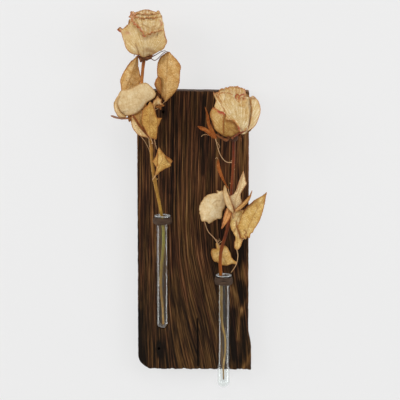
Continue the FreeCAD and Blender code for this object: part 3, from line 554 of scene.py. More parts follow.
def stainedPine():
    # pine, wire brushed and stained: dark soft wood between lighter raised rings, satin with little shine
    material, tree = newMaterial("stainedPine")
    layer = {}
    for key in ("tone", "across", "along"):
        layer[key] = addNode(tree, "Attribute", {"attribute_name": key}).outputs["Fac"]
    place = addNode(tree, "CombineXYZ", {"X": layer["across"], "Y": layer["along"]})
    # mm across and along the grain, a few times real fibres so that they show; detail; roughness
    sizes = {"fibre": (1.3, 48, 3, 0.6), "pore": (2.1, 44, 4, 0.7), "hue": (7, 70, 2, 0.5)}
    grain = {}
    for key, (wide, tall, detail, rough) in sizes.items():
        sized = addNode(tree, "VectorMath", {"operation": "MULTIPLY", 0: place, 1: (1 / wide, 1 / tall, 0)})
        grain[key] = addNode(tree, "TexNoise", {
            "Vector": sized, "Scale": 1.0, "Detail": detail, "Roughness": rough,
        })
    streaks = addNode(tree, "MapRange", {
        "Value": grain["fibre"], "From Min": 0.3, "From Max": 0.7, "To Min": -0.33, "To Max": 0.33,
    })
    dark = addNode(tree, "MapRange", {
        "Value": grain["pore"], "From Min": 0.52, "From Max": 0.72, "To Min": 0.0, "To Max": -0.30,
    })
    mixed = addNode(tree, "Math", {"operation": "ADD", 0: layer["tone"], 1: streaks})
    mixed = addNode(tree, "Math", {"operation": "ADD", "use_clamp": True, 0: mixed, 1: dark})
    hues = []
    for shades in (
        ("#150d06", "#352210", "#5b3e1e", "#7f5b32", "#a37e4e"),
        ("#160c07", "#361f11", "#5d391f", "#815532", "#a4784c"),
    ):
        stops = list(zip((0, 0.25, 0.5, 0.75, 1), shades))
        hues.append(addNode(tree, "ValToRGB", {"stops": stops, "Fac": mixed}))
    lower = addNode(tree, "MapRange", {
        "Value": layer["along"], "From Min": -260.0, "From Max": -110.0, "To Min": -0.08, "To Max": 0.04,
    })
    leaning = addNode(tree, "Math", {"operation": "ADD", 0: grain["hue"], 1: lower})
    share = addNode(tree, "ValToRGB", {"stops": [(0.40, 0.0), (0.60, 1.0)], "Fac": leaning})
    stain = addNode(tree, "Mix", {"data_type": "RGBA", 0: share, 6: hues[0], 7: hues[1]})
    gloss = addNode(tree, "MapRange", {"Value": mixed, "To Min": 0.9, "To Max": 0.7})
    bump = addNode(tree, "Bump", {"Strength": 0.5, "Distance": 0.25 * mm, "Height": grain["fibre"]})
    shader = addNode(tree, "BsdfPrincipled", {
        "Base Color": stain.outputs[2], "Roughness": gloss, "Normal": bump, "IOR": 1.5,
        "Specular IOR Level": 0.15,
    })
    return finishMaterial(material, tree, shader)


boardPiece = addPiece("plankStained", "backboard", boardMesh(), stainedPine(), "backboard")
joined = bmesh.new()
joined.from_mesh(boardPiece.data)
bmesh.ops.remove_doubles(joined, verts=joined.verts, dist=2e-6)
bmesh.ops.recalc_face_normals(joined, faces=joined.faces)
joined.to_mesh(boardPiece.data)
joined.free()
print("plank ready:", len(boardPiece.data.polygons), "faces")


# Glass, pegs and the keyhole hanger keep their CAD shapes; the rings get a fuller turned section.


def boroGlass(name, rimTop):
    # drawn borosilicate tube: clear, hardly tinted, bright where it curves away; a painted highlight makes a
    # band just under the rim part white instead of clear
    material, tree = newMaterial(name)
    highlightLow, highlightHigh, highlightClear = 1.1, 0.6, 0.62       # mm below the top where the painted highlight band runs, and how clear the glass stays in it
    place = addNode(tree, "TexCoord", {})
    height = addNode(tree, "SeparateXYZ", {"Vector": place.outputs["Object"]})
    # painted highlight: the transmission drops under the rim, so the glass there renders part white
    clear = addNode(tree, "MapRange", {
        "Value": height.outputs["Z"], "From Min": (rimTop - highlightLow) * mm, "From Max": (rimTop - highlightHigh) * mm,
        "To Min": 1.0, "To Max": highlightClear,
    })
    shader = addNode(tree, "BsdfPrincipled", {
        "Base Color": colour("#f7faf9"), "IOR": 1.47, "Roughness": 0.0, "Transmission Weight": clear,
    })
    # the lamps light what stands inside
    passed = addNode(tree, "BsdfTransparent", {"Color": colour("#f3f6f5")})
    rays = addNode(tree, "LightPath", {})
    shown = addNode(tree, "MixShader", {0: rays.outputs["Is Shadow Ray"], 1: shader, 2: passed})
    return finishMaterial(material, tree, shown)


def turnedWood(name, dark, light):
    # turned hardwood with a thin stain: grain and tool lines run round it, matt
    material, tree = newMaterial(name)
    place = addNode(tree, "TexCoord", {}).outputs["Object"]
    grain = addNode(tree, "VectorMath", {"operation": "MULTIPLY", 0: place, 1: (90.0, 90.0, 1100.0)})
    lines = addNode(tree, "TexNoise", {"Vector": grain, "Scale": 1.0, "Detail": 4.0, "Roughness": 0.6})
    shade = addNode(tree, "ValToRGB", {"stops": [(0.3, dark), (0.7, light)], "Fac": lines})
    bump = addNode(tree, "Bump", {"Strength": 0.6, "Distance": 0.2 * mm, "Height": lines})
    shader = addNode(tree, "BsdfPrincipled", {
        "Base Color": shade, "Roughness": 0.7, "IOR": 1.5, "Specular IOR Level": 0.2, "Normal": bump,
    })
    return finishMaterial(material, tree, shader)


def platedSteel(name, shade, rough):
    # zinc plated steel, rolled: fine lines along the strip and a grey shine
    material, tree = newMaterial(name)
    place = addNode(tree, "TexCoord", {}).outputs["Object"]
    roll = addNode(tree, "VectorMath", {"operation": "MULTIPLY", 0: place, 1: (6000.0, 6000.0, 120.0)})
    lines = addNode(tree, "TexNoise", {"Vector": roll, "Scale": 1.0, "Detail": 3.0})
    gloss = addNode(tree, "MapRange", {"Value": lines, "To Min": rough - 0.08, "To Max": rough + 0.12})
    tint = addNode(tree, "Mix", {"data_type": "RGBA", 0: lines, 6: colour(shade), 7: colour("#8f9298")})
    metal = {"Base Color": tint.outputs[2], "Metallic": 1.0, "Roughness": gloss}
    shader = addNode(tree, "BsdfPrincipled", metal)
    return finishMaterial(material, tree, shader)


def dressNode(name, material):
    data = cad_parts[name].data
    data.materials.clear()
    data.materials.append(material)


def nodeSpan(name):
    # the lowest and highest corner of a CAD piece, in mm
    spots = np.array([tuple(v.co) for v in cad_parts[name].data.vertices]) / mm
    return spots.min(axis=0), spots.max(axis=0)


ringHabit = {
    "bore": 8.4,
    "outerRound": 2.3,       # 2 is an ellipse, more is squarer
    "boreRound": 5.0,
    "uneven": 0.16,          # mm that hand turning leaves
    "around": 96,
    "section": 40,
}


def ringMesh(side):
    # the ring's section is full and round outside and nearly flat in the bore
    low, high = nodeSpan(side + "_ring")
    centre = (low + high) / 2
    half = ((high[0] - low[0]) / 2 - ringHabit["bore"]) / 2
    tall = (high[2] - low[2]) / 2
    sections, around = ringHabit["section"], ringHabit["around"]
    points = []
    for angle in (2 * math.pi * k / sections for k in range(sections)):
        power = 2 / ringHabit["outerRound" if math.cos(angle) > 0 else "boreRound"]
        out = math.copysign(abs(math.cos(angle)) ** power, math.cos(angle))
        rise = math.copysign(abs(math.sin(angle)) ** power, math.sin(angle))
        for turn in (2 * math.pi * j / around for j in range(around)):
            worn = ripple(math.cos(turn) * 2, math.sin(turn) * 2, angle * 1.5, 2) - 0.7
            r = ringHabit["bore"] + half + half * out + ringHabit["uneven"] * max(0.0, out) * worn
            points.append(centre + np.array((r * math.cos(turn), r * math.sin(turn), tall * rise)))
    shape = newShape()
    grow(shape, points, gridFaces(sections, around, True, True), {})
    return shape


ringWood = turnedWood("turnedAshStained", "#20160f", "#5a4433")
pegWood = turnedWood("beechPeg", "#5b4030", "#7d5b43")
for side in ("left", "right"):
    dressNode(side + "_tube", boroGlass(side + "BorosilicateGlass", nodeSpan(side + "_tube")[1][2]))
    dressNode(side + "_ring_peg", pegWood)
    addPiece(side + "_ring_turned", side + "_ring", ringMesh(side), ringWood, "backboard")
dressNode("keyhole_plate", platedSteel("zincPlatedHanger", "#c3c6cb", 0.32))
dressNode("keyhole_screws", platedSteel("zincPlatedScrew", "#b8bbc0", 0.38))
print("hardware ready")


# Everything that grew: sheets of dried leaf and petal, and round stems and stalks.
# A sheet is drawn by its outline in the photograph's pixels and carried to its place by a depth in mm.

pixel = 1.285        # mm that a pixel of the photograph spans at the tubes


def noiseOver(spots, size, seed, octaves=1):
    apart = seed * 7.31 / size       # how far one seed's noise lies from the next
    return np.array([ripple(x / size, y / size, apart, octaves) for x, y in spots])


def markStrength(spots, marks, seed):
    # each mark is a half width in pixels, a strength and the points it runs through
    total = np.zeros(len(spots))
    for width, strength, *line in marks:
        gap = nearest(spots, smoothPath(line, 40))[0] / width * (1 + 0.5 * noiseOver(spots, 2.0, seed))
        total = np.maximum(total, strength * np.exp(-gap * gap))
    return total


def sheetOf(spec, seed, step=0.5):
    # the outline filled with small triangles, and what the depth and the colours are worked out from
    corners = np.array(spec["outline"], float)
    around = np.linalg.norm(np.roll(corners, -1, axis=0) - corners, axis=1).sum()
    ring = smoothPath(corners, int(around / step * 1.15) + 1, True)[:-1]
    wander = spec.get("ragged", 0.22) * noiseOver(ring, 1.6, seed, 2)
    if "teeth" in spec:
        spacing, height = spec["teeth"]
        run = np.arange(len(ring)) * around / len(ring)
        wander += height * (1 - (run / spacing) % 1.0) - height / 2
    ring = insetLoop(ring, -wander)
    grid = gridWithin(ring, step, step * 0.87, step * 0.55)
    found, triangles = fillRegion(ring, [], grid.tolist())
    spots = np.array(found)
    edge = nearest(spots, ring)[0]
    known = {"edge": edge * pixel}
    if "rib" in spec:
        rib = smoothPath(spec["rib"], 80)
        gap, at = nearest(spots, rib[:, :2])
        ahead = np.gradient(rib[:, :2], axis=0)[at]
        offset = spots - rib[at, :2]
        side = np.sign(ahead[:, 0] * offset[:, 1] - ahead[:, 1] * offset[:, 0])
        known["along"] = at / (len(rib) - 1)
        known["across"] = side * gap / (gap + edge + 1e-6)
        known["depth"] = rib[at, 2]
        known["gap"] = gap * pixel
    return spots, triangles, known


def dressSheet(spec, spots, known, seed):
    # what the material mixes its colours by
    tone = 0.56 + 0.27 * noiseOver(spots, spec.get("patch", 5.0), seed + 3, 3) + spec.get("tone", 0.0)
    tone = tone + 0.16 * noiseOver(spots, 1.5, seed + 4) - 0.3 * np.exp(-known["edge"] / 2.6)
    return {
        "edge": known["edge"],
        "vein": known["vein"],
        "tone": tone,
        "brown": markStrength(spots, spec.get("brown", []), seed),
        "red": markStrength(spots, spec.get("red", []), seed + 1),
    }


leafHabit = {
    "veins": 7,              # side veins on each half
    "veinWidth": 0.42,       # mm
    "veinRise": 0.22,
    "veinSlant": 0.17,       # how far along the leaf a side vein runs on its way to the margin
    "midribWidth": 0.85,
    "wave": (0.8, 9.0),      # mm high and pixels wide, the slow buckling
    "crumple": (0.2, 2.6),
    "pucker": (0.1, 1.1),    # the finest wrinkles
    "curl": (1.2, 5.0),      # how the dry margin curls
    "curlReach": 1.5,        # mm in from the margin
    "thick": 0.3,
}


def addLeafBlade(shape, spec, seed):
    spots, triangles, known = sheetOf(spec, seed)
    along, across, edge = known["along"], known["across"], known["edge"]
    phase = along * leafHabit["veins"] - abs(across) * leafHabit["veins"] * leafHabit["veinSlant"]
    spacing = spec["length"] / leafHabit["veins"]
    sideVein = np.exp(-((np.abs(phase - np.round(phase)) * spacing / leafHabit["veinWidth"]) ** 2) * 0.5)
    midrib = np.exp(-(known["gap"] / leafHabit["midribWidth"]) ** 2)
    known["vein"] = spec.get("veined", 1.0) * np.maximum(midrib, 0.5 * sideVein * ease(0.0, 1.2, edge))
    left, right = spec["cup"]
    depths = known["depth"] + np.where(across < 0, left, right) * across**2 + spec.get("steep", 0.0) * across
    nearMargin = spec.get("curl", 1.0) * np.exp(-edge / leafHabit["curlReach"])
    wavy = spec.get("wavy", 1.0)
    folds = (("wave", 0, 1, wavy), ("crumple", 5, 2, wavy), ("pucker", 6, 1, 1.0), ("curl", 9, 1, nearMargin))
    for kind, number, octaves, share in folds:
        height, size = leafHabit[kind]
        depths = depths + share * height * noiseOver(spots, size, seed + number, octaves)
    depths = depths - leafHabit["veinRise"] * known["vein"]
    grow(shape, seenPlaces(spots, depths), triangles, dressSheet(spec, spots, known, seed))


# Dried tissue: the colours from dark to light patches, of the margin, the veins and the marks, how
# strong the specks, the net of fine veins and the dark flecks are, and the record's slot it belongs to.

tissues = {
    "pale": {
        "name": "paleDriedLeaf", "slot": "pale_leaf", "rim": "#b07f42", "vein": "#b08a54",
        "red": "#9a4a30", "brown": "#9a6530", "specks": 0.6, "net": 0.1, "flecks": 0.35,
        "shades": ("#b8905a", "#d5b27e", "#e6ca99", "#f3e1ba"),
    },
    "tan": {
        "name": "tanDriedLeaf", "slot": "tan_leaf", "rim": "#9c5420", "vein": "#a9743a",
        "red": "#94401f", "brown": "#8a5220",
        "shades": ("#a16a2a", "#cb9953", "#e2b976", "#f4daa7"),
    },
    "yellow": {
        "name": "yellowDriedLeaf", "slot": "tan_leaf", "rim": "#9c5822", "vein": "#a9763a",
        "red": "#94401f", "brown": "#84481a",
        "shades": ("#a36f2a", "#cda050", "#e6c276", "#f6dfa6"),
    },
    "orange": {
        "name": "orangeDriedLeaf", "slot": "orange_leaf", "rim": "#9a4c1a", "vein": "#a8632c",
        "red": "#8a2f1a", "brown": "#7a3c16",
        "shades": ("#9a5220", "#c47430", "#d99048", "#e9b070"),
    },
    "petal": {
        "name": "driedRosePetal", "rim": "#b4672a", "vein": "#b88a48", "red": "#a8402a", "brown": "#8c5018",
        "rough": 0.66, "veins": 0.5, "specks": 0.9, "net": 0.0, "flecks": 0.35,
        "places": (0, 0.3, 0.6, 1), "shades": ("#a06e2a", "#c79c56", "#dcc089", "#f3e2bc"),
    },
    "sepal": {
        "name": "driedSepal", "rim": "#5a2f1a", "vein": "#8a5426", "red": "#8e3a2c", "brown": "#4a2414",
        "shades": ("#3a1d16", "#7a4424", "#b06e38", "#cf965a"),
    },
}
plainTissue = {
    "rough": 0.72, "veins": 0.75, "specks": 1.0, "net": 0.5, "flecks": 0.75, "places": (0, 0.35, 0.65, 1),
}
tissueGrain = {"specks": 1.1, "fibres": 0.6, "rimPatches": 5.5, "scars": 2.1, "net": 2.6}     # mm


def driedTissue(kind):
    # dry plant tissue, thin and fibrous: mottled straw colours, browner at the margin, almost no shine
    look = {**plainTissue, **tissues[kind]}
    material, tree = newMaterial(look["name"])
    layer = {}
    for key in ("edge", "vein", "tone", "brown", "red"):
        layer[key] = addNode(tree, "Attribute", {"attribute_name": key}).outputs["Fac"]
    place = addNode(tree, "TexCoord", {}).outputs["Object"]
    scale = {key: 1 / (size * mm) for key, size in tissueGrain.items()}
    specks = addNode(tree, "TexNoise", {
        "Vector": place, "Scale": scale["specks"], "Detail": 4.0, "Roughness": 0.65,
    })
    fibres = addNode(tree, "TexNoise", {"Vector": place, "Scale": scale["fibres"], "Detail": 2.0})
    patches = addNode(tree, "TexNoise", {"Vector": place, "Scale": scale["rimPatches"], "Detail": 2.0})
    scars = addNode(tree, "TexNoise", {
        "Vector": place, "Scale": scale["scars"], "Detail": 3.0, "Roughness": 0.6,
    })
    bend = addNode(tree, "VectorMath", {"operation": "SCALE", 0: specks.outputs["Color"], "Scale": 0.9 * mm})
    bent = addNode(tree, "VectorMath", {"operation": "ADD", 0: place, 1: bend})
    cells = addNode(tree, "TexVoronoi", {
        "feature": "DISTANCE_TO_EDGE", "Vector": bent, "Scale": scale["net"],
    })
    ranges = {
        "spread": (specks, 0.3, 0.7, -0.3 * look["specks"], 0.3 * look["specks"]),
        "worn": (layer["edge"], 0.2, 1.8, 0.9, 0.0),
        "patchy": (patches, 0.36, 0.54, 0.5, 1.0),
        "flecks": (scars, 0.63, 0.69, 0.0, look["flecks"]),
        "lines": (cells, 0.0, 0.16, look["net"], 0.0),
    }
    part = {}
    for key, (value, *limits) in ranges.items():
        limits = dict(zip(("From Min", "From Max", "To Min", "To Max"), limits))
        part[key] = addNode(tree, "MapRange", {"Value": value, **limits})
    mixed = addNode(tree, "Math", {
        "operation": "ADD", "use_clamp": True, 0: layer["tone"], 1: part["spread"],
    })
    worn = addNode(tree, "Math", {"operation": "MULTIPLY", 0: part["worn"], 1: part["patchy"]})
    main = addNode(tree, "Math", {"operation": "MULTIPLY", 0: layer["vein"], 1: look["veins"]})
    veins = addNode(tree, "Math", {"operation": "MAXIMUM", 0: main, 1: part["lines"]})
    stops = list(zip(look["places"], look["shades"]))
    shade = addNode(tree, "ValToRGB", {"stops": stops, "Fac": mixed}).outputs[0]
    # the brown and red marks are partly the tissue's own colour and partly painted shade in folds, gaps and
    # under overlapping sheets, as noted where they are listed
    coats = (
        (worn, "rim"), (veins, "vein"), (part["flecks"], "brown"), (layer["brown"], "brown"),
        (layer["red"], "red"),
    )
    for amount, tint in coats:
        coat = addNode(tree, "Mix", {"data_type": "RGBA", 0: amount, 6: shade, 7: colour(look[tint])})
        shade = coat.outputs[2]
    bump = addNode(tree, "Bump", {"Strength": 0.35, "Distance": 0.12 * mm, "Height": fibres})
    shader = addNode(tree, "BsdfPrincipled", {
        "Base Color": shade, "Roughness": look["rough"], "Normal": bump, "IOR": 1.45,
        "Specular IOR Level": 0.3,
    })
    return finishMaterial(material, tree, shader)


# Each leaf: its tissue, the points of its stalk in mm, and its blades. A blade has an outline, a midrib
# with depths, how far its halves cup, and brown and red marks: half width, strength, points.

leaves = {
    "left_leaf_top_left": {"tissue": "tan", "stalk": [(-62.4, -40.6, 36), (-70, -36, 26)], "blades": [{
        "outline": [(137.3, 55.6), (134.3, 58.6), (131.3, 60.9), (128.4, 64.4), (125.8, 68.3), (123.4, 72.5),
            (121.5, 76.5), (120.2, 80.9), (120.9, 86.4), (121.5, 92), (122.5, 98), (127, 99.5), (132, 97),
            (137, 89), (140.7, 80.9), (140.4, 76), (139.6, 72.1), (138.2, 65.6), (138.3, 60.6)],
        "rib": [(124, 98, -31), (127, 86, -32.5), (132, 74, -34), (137, 57, -33.5)], "cup": (3, 3.6),
        "tone": 0.08, "length": 62, "brown": [(0.9, 0.7, (136.8, 57), (131, 61.5), (125.5, 69))],
    }]},
    "left_leaf_top_right": {"tissue": "tan", "stalk": [(-60.9, -39.9, 21), (-48, -37, 16)], "blades": [{
        "outline": [(168.6, 51.8), (171.2, 54), (173.6, 56.2), (178, 61.2), (180.7, 66.1), (180.1, 72.7),
            (179.6, 80.9), (178, 87.5), (173, 94.6), (169.5, 98), (165.6, 101.6), (162.6, 97.4),
            (159.8, 91.9), (160.4, 86.4), (160.4, 80.9), (157.7, 77.6), (157.1, 71), (157.4, 64.5),
            (159.3, 59), (162.6, 55.1)],
        "rib": [(165.4, 101, -35), (165.9, 94.6, -35.5), (165.9, 83.7, -37), (167, 72.7, -38.5),
            (167.5, 61.2, -40), (168.4, 52.6, -40)],
        "cup": (5, 5.5), "teeth": (2.2, 0.3), "length": 64, "tone": 0.02,
        "brown": [(0.7, 0.6, (158, 65), (160.5, 58), (165, 53.8))],
    }, {
        "outline": [(158.2, 76.6), (156.2, 79), (155.2, 81.5), (154.4, 84.4), (156, 88.6), (159.3, 93.5),
            (160.8, 92), (161, 86), (160.6, 80)],
        "rib": [(160.2, 92.5, -38.2), (160.6, 86, -38.8), (159.4, 78, -39.5)], "cup": (5, 1), "tone": -0.35,
        "length": 20, "brown": [(1, 0.7, (155, 84), (157, 89), (159.6, 92.5))],
    }]},
    "left_leaf_pale": {"tissue": "pale", "stalk": [(-57.1, -38.9, -4), (-61, -42, 0)], "blades": [{
        "outline": [(142.9, 82.8), (146.7, 83.1), (150.5, 85.8), (153.8, 89.7), (155.7, 93.5), (154.9, 96.8),
            (151.6, 99.6), (147.2, 102.3), (145, 105), (142.9, 108.3), (137.9, 112.7), (131.3, 114.9),
            (126.9, 116), (121.5, 117.4), (118.2, 115.6), (115.6, 111.6), (114.6, 107.2), (114.6, 102.9),
            (116.4, 99), (117.8, 96.3), (119.3, 92.4), (122, 90.2), (128.6, 88.6), (134.6, 86.4),
            (139, 84.2)],
        "rib": [(141, 111.2, -47), (140, 106, -48.5), (136.3, 97.4, -51.5), (133.5, 90.8, -53),
            (132.6, 88, -53.5)],
        "cup": (2, 2.6), "length": 34, "wavy": 1.3, "ragged": 0.3, "tone": 0.06, "veined": 0.3,
        "brown": [(0.5, 0.75, (120, 96.5), (117.8, 102), (118.5, 107), (121.5, 112.5), (126, 116.2))],
    }, {
        "outline": [(120, 96), (117.6, 101), (117.7, 105.5), (119.4, 110), (122, 113.6), (126.4, 116.9),
            (121.5, 118), (118, 116.4), (115.2, 111.8), (113.9, 107.2), (113.9, 102.7), (115.9, 98.8),
            (118, 95.8)],
        "rib": [(125.5, 117, -48.5), (119.2, 111.5, -50.4), (116.8, 104, -51.4), (119.5, 96.5, -51.8)],
        "cup": (3, 2), "length": 34, "tone": 0, "veined": 0.2,
    }]},
    "left_leaf_edgewise": {"tissue": "tan", "stalk": [(-57.8, -39.1, 0), (-64, -40.5, 4)], "blades": [{
        "outline": [(110.5, 115.4), (112.6, 115.4), (116, 116.4), (121, 117.5), (127.5, 117.1), (132, 115.6),
            (131.5, 118.2), (127, 119.2), (121, 119.3), (115.5, 118.2), (111.8, 116.8)],
        "rib": [(131.5, 117, -41), (126, 118.2, -41.5), (119, 118.3, -42), (111, 116, -42)], "cup": (0, 0),
        "steep": 7, "tone": -0.4, "length": 26, "brown": [(0.8, 0.8, (111, 116), (119, 118.4), (128, 118.2))],
    }, {
        "outline": [(127.6, 114.2), (131.9, 114.2), (131.4, 118), (130.2, 121.6), (128.6, 121.2),
            (128.2, 118)],
        "rib": [(130, 114.5, -40.5), (129.6, 118, -41), (129.3, 121.2, -41.5)], "cup": (1, 1), "tone": -0.35,
        "length": 9,
    }]},
    "left_leaf_middle": {"tissue": "yellow", "stalk": [(-54.5, -38, -26), (-51.5, -43.5, -26.5)], "blades": [{
        "outline": [(149.8, 101.8), (152.3, 103.8), (153.9, 107.4), (155.4, 112), (156.9, 117.2),
            (159.5, 117.8), (162.2, 118.2), (160.7, 119.8), (160, 122.7), (158, 126.8), (157.2, 133),
            (156.4, 139.2), (153, 138.6), (149.8, 137.5), (147.2, 133.9), (144.2, 127.8), (141.9, 122.7),
            (141.9, 116.1), (142.4, 111), (144.2, 108.4), (147.8, 105.3)],
        "rib": [(150.6, 138, -50), (149.6, 128, -53.5), (149.8, 117, -57), (150.8, 103, -60)],
        "cup": (3.5, 3), "tone": -0.2, "length": 47, "ragged": 0.3,
        "brown": [(2.2, 0.35, (151.5, 115.5), (152, 121)),
            (0.6, 0.5, (155, 111.5), (157.5, 118.2), (157.6, 127))],
    }]},
    "left_leaf_lower": {"tissue": "tan", "stalk": [(-53.4, -37.6, -36), (-55.5, -40, -29)], "blades": [{
        "outline": [(131.3, 115.5), (130.9, 119), (131, 122), (132.4, 127.5), (135, 131.5), (139, 135.5),
            (144, 137), (149, 137.6), (146, 133.5), (143, 130), (139.5, 125.5), (136.4, 121), (134.6, 117.6),
            (133.2, 114.8)],
        "rib": [(148.6, 137.2, -42), (142, 130.2, -43), (136, 122, -43.8), (132.6, 116, -44)],
        # painted light and shade: this half of the fold is lightened, the other half darkened
        "cup": (2.5, 2), "tone": 0.4, "length": 34,
        "red": [(0.9, 0.75, (149, 137.2), (143, 130), (136.4, 121), (133, 115.5))],
    }, {
        "outline": [(133, 114.6), (138, 112.2), (142.8, 110.6), (142.6, 122), (145.6, 130), (150, 137.6),
            (148.4, 137.2), (143, 130.6), (136.4, 121.6)],
        "rib": [(149.2, 137.4, -42.2), (143, 130, -43.4), (136.4, 121, -44.2), (134, 115.6, -44.4)],
        # painted shade: this half of the fold is darkened
        "cup": (4, 5), "tone": -0.12, "length": 34,
        "red": [(0.8, 0.8, (149, 137), (143, 129.8), (136.8, 120.8), (133.4, 115.3))],
    }]},
    "left_leaf_folded": {"tissue": "tan", "stalk": [(-58, -39.1, 2), (-51, -41, 5)], "blades": [{
        "outline": [(157.4, 95.8), (159, 98.2), (161.4, 99.6), (161.2, 102.6), (164.6, 105.7), (161.4, 105.5),
            (159.6, 104.9), (158.2, 106.2), (156.6, 105.4), (154.6, 107.6), (152.4, 104.6), (153.6, 101),
            (155.6, 98.6)],
        "rib": [(154.6, 106, -43), (156.6, 101.5, -46), (157.4, 96.2, -45.5)], "cup": (3, 4), "tone": 0.25,
        "length": 16, "ragged": 0.12, "brown": [(0.6, 0.6, (155.5, 106.5), (158, 104.4), (163.5, 105.6))],
    }, {
        # painted shade: this flap under the folded tip is darkened by its tone and brown line
        "outline": [(155.6, 107.4), (157, 105.4), (160.5, 105), (164.2, 106.2), (161.3, 107), (160.9, 110.2),
            (158.6, 108.2)],
        "rib": [(156, 107.5, -42), (159, 107.2, -41), (163.5, 106.1, -43)], "cup": (3, 3), "tone": -0.45,
        "length": 12, "brown": [(1.4, 0.75, (157, 108.5), (161, 106.5))],
    }]},
    "left_leaf_small": {"tissue": "yellow", "stalk": [(-49.9, -36.1, -71), (-51.6, -39.5, -74)], "blades": [{
        "outline": [(159, 147.2), (161.2, 150.4), (163.6, 153.3), (166.6, 156.9), (168.6, 160.6),
            (170.9, 165.6), (165.6, 168.5), (160, 172), (155.4, 175.8), (156.2, 167.6), (155.9, 159.4),
            (156.6, 155.9), (157.4, 150.6)],
        "rib": [(155.8, 175, -43), (159, 166, -45), (162.5, 158, -46.5), (159.4, 148, -47.5)],
        "cup": (3.5, 4), "tone": -0.02, "length": 34, "ragged": 0.28,
        "brown": [(0.8, 0.45, (157.8, 150), (156.6, 160), (156.2, 170))],
    }, {
        "outline": [(165.6, 156), (167.6, 156.8), (170.7, 158.7), (172.3, 161.2), (170.8, 163.4),
            (169, 161.6), (167, 159.6)],
        "rib": [(166.5, 157.5, -47.5), (169, 159.6, -48.5), (171.6, 161.4, -48)], "cup": (2, 2), "tone": -0.2,
        "length": 9, "brown": [(0.7, 0.7, (166, 157), (169.6, 158.6), (172, 161))],
    }, {
        "outline": [(157.3, 152.8), (155.6, 157), (153.6, 159.8), (152.2, 161.6), (154, 163.2),
            (155.4, 166.2), (157.4, 167), (158.2, 160)],
        "rib": [(157.6, 166, -44.2), (157.2, 160, -45.4), (157.4, 154, -46.6)], "cup": (3.4, 0.5),
        "tone": -0.2, "length": 16,
    }]},
    "right_leaf_pale": {"tissue": "pale",
        "stalk": [(36.4, -35.7, -167), (28, -38, -152), (19.5, -40, -142)], "blades": [{
        "outline": [(204, 198), (206.4, 195.6), (209, 194.4), (213.6, 193.4), (217.2, 192.8), (216.6, 190.2),
            (219.6, 191.4), (222.4, 190.4), (224.5, 192), (226, 197), (226.5, 203), (225, 206.4),
            (222.4, 212), (221.2, 218.4), (217.6, 218.6), (214.4, 220.2), (211.4, 222.4), (208.8, 223.6),
            (206.2, 221.6), (202, 221.4), (200.6, 217), (199.4, 212.4), (199.2, 207.6), (201, 203)],
        "rib": [(204.4, 221.6, -41), (209.6, 211.6, -42), (215.6, 201.4, -42.8), (221.6, 192, -43)],
        "cup": (2.6, 3.4), "tone": 0.14, "wavy": 2.4, "length": 42, "ragged": 0.4, "veined": 0.22,
        "brown": [(0.5, 0.5, (213, 203.5), (216, 201), (220, 200.6)), (0.8, 0.3, (221, 206), (224, 198))],
    }]},
    "right_leaf_upright": {"tissue": "pale", "stalk": [(48.3, -40.9, -116), (50.8, -48, -121)], "blades": [{
        "outline": [(224.5, 185), (226.4, 188), (227.5, 192), (229.5, 196.4), (231.4, 202), (233, 207),
            (233.8, 213.8), (230, 210.5), (227, 207), (224.6, 201), (223.3, 195), (223.4, 190)],
        "rib": [(233, 212.6, -57), (229.4, 203, -58.5), (226, 195, -60), (224.8, 186.4, -61)],
        "cup": (3, 2.5), "tone": 0.02, "length": 34, "veined": 0.6,
        "brown": [(0.5, 0.4, (226.4, 189), (229.6, 197), (232.8, 206.6))],
    }]},
    "right_leaf_bract": {"tissue": "orange", "stalk": [(48.8, -43.2, -95), (46.5, -41, -92)], "blades": [{
        "outline": [(218.1, 159.4), (219.4, 163), (220.4, 167.6), (221.8, 172.4), (223.2, 176.6),
            (224.6, 180.6), (227, 185.6), (229, 188.8), (227.2, 187.4), (223.8, 182.4), (220.9, 177.4),
            (218.3, 172), (216.8, 167), (217, 163)],
        "rib": [(228.2, 188, -40), (222.4, 178, -39.4), (219.2, 169, -38.8), (218.2, 160, -39)],
        "cup": (-2, -2), "tone": 0.1, "length": 38,
    }]},
    "right_leaf_upper": {"tissue": "tan", "stalk": [(48.6, -41.6, -110), (51.5, -46, -112)], "blades": [{
        "outline": [(243.4, 171), (244.4, 175), (245.5, 180), (246.6, 183.6), (244.8, 187), (243, 190),
            (240.8, 194), (240.8, 198), (242.2, 202.5), (239, 206.5), (235, 211.5), (232.5, 206), (230, 201),
            (228.2, 197.5), (231, 195.6), (234, 193.6), (236.5, 189), (238, 184), (240.2, 178), (242, 174)],
        "rib": [(235.2, 210.4, -51), (235.4, 200, -52.5), (239.8, 189, -53.5), (243.2, 173, -54)],
        # painted light: a tone of 0.7 lightens this leaf against the shade it lies in
        "cup": (1, 1), "tone": 0.7, "length": 52,
        "brown": [(0.8, 0.5, (242.4, 176), (239.4, 184), (236.4, 191.4))],
        # painted shade: the red line is the gap along its lower left margin
        "red": [(1.1, 1, (229.4, 197.6), (231.4, 203), (234.2, 210))],
    }]},
    "right_leaf_folded": {"tissue": "tan", "stalk": [(47.6, -40.4, -121), (51, -49, -123)], "blades": [{
        "outline": [(252.2, 190.2), (250.8, 197), (248.2, 202), (243.2, 207.2), (238.5, 210.7),
            (234.4, 212.2), (236.4, 208.2), (240.5, 204.5), (245.3, 200), (249.2, 195.6)],
        "rib": [(235.4, 211.4, -58.5), (243, 205.4, -59.5), (248.6, 199.4, -60), (251.8, 191.4, -60)],
        "cup": (2.5, 2.5), "tone": 0.05, "length": 34,
        "brown": [(0.5, 0.6, (236, 208.8), (244, 201.4), (250.6, 193.4))],
    }]},
    "right_leaf_short": {"tissue": "orange", "stalk": [(48.7, -42.3, -103), (47.6, -47, -103)], "blades": [{
        "outline": [(227, 208), (229.5, 208.6), (231.8, 213), (230.6, 217.5), (227.4, 222), (224.2, 226),
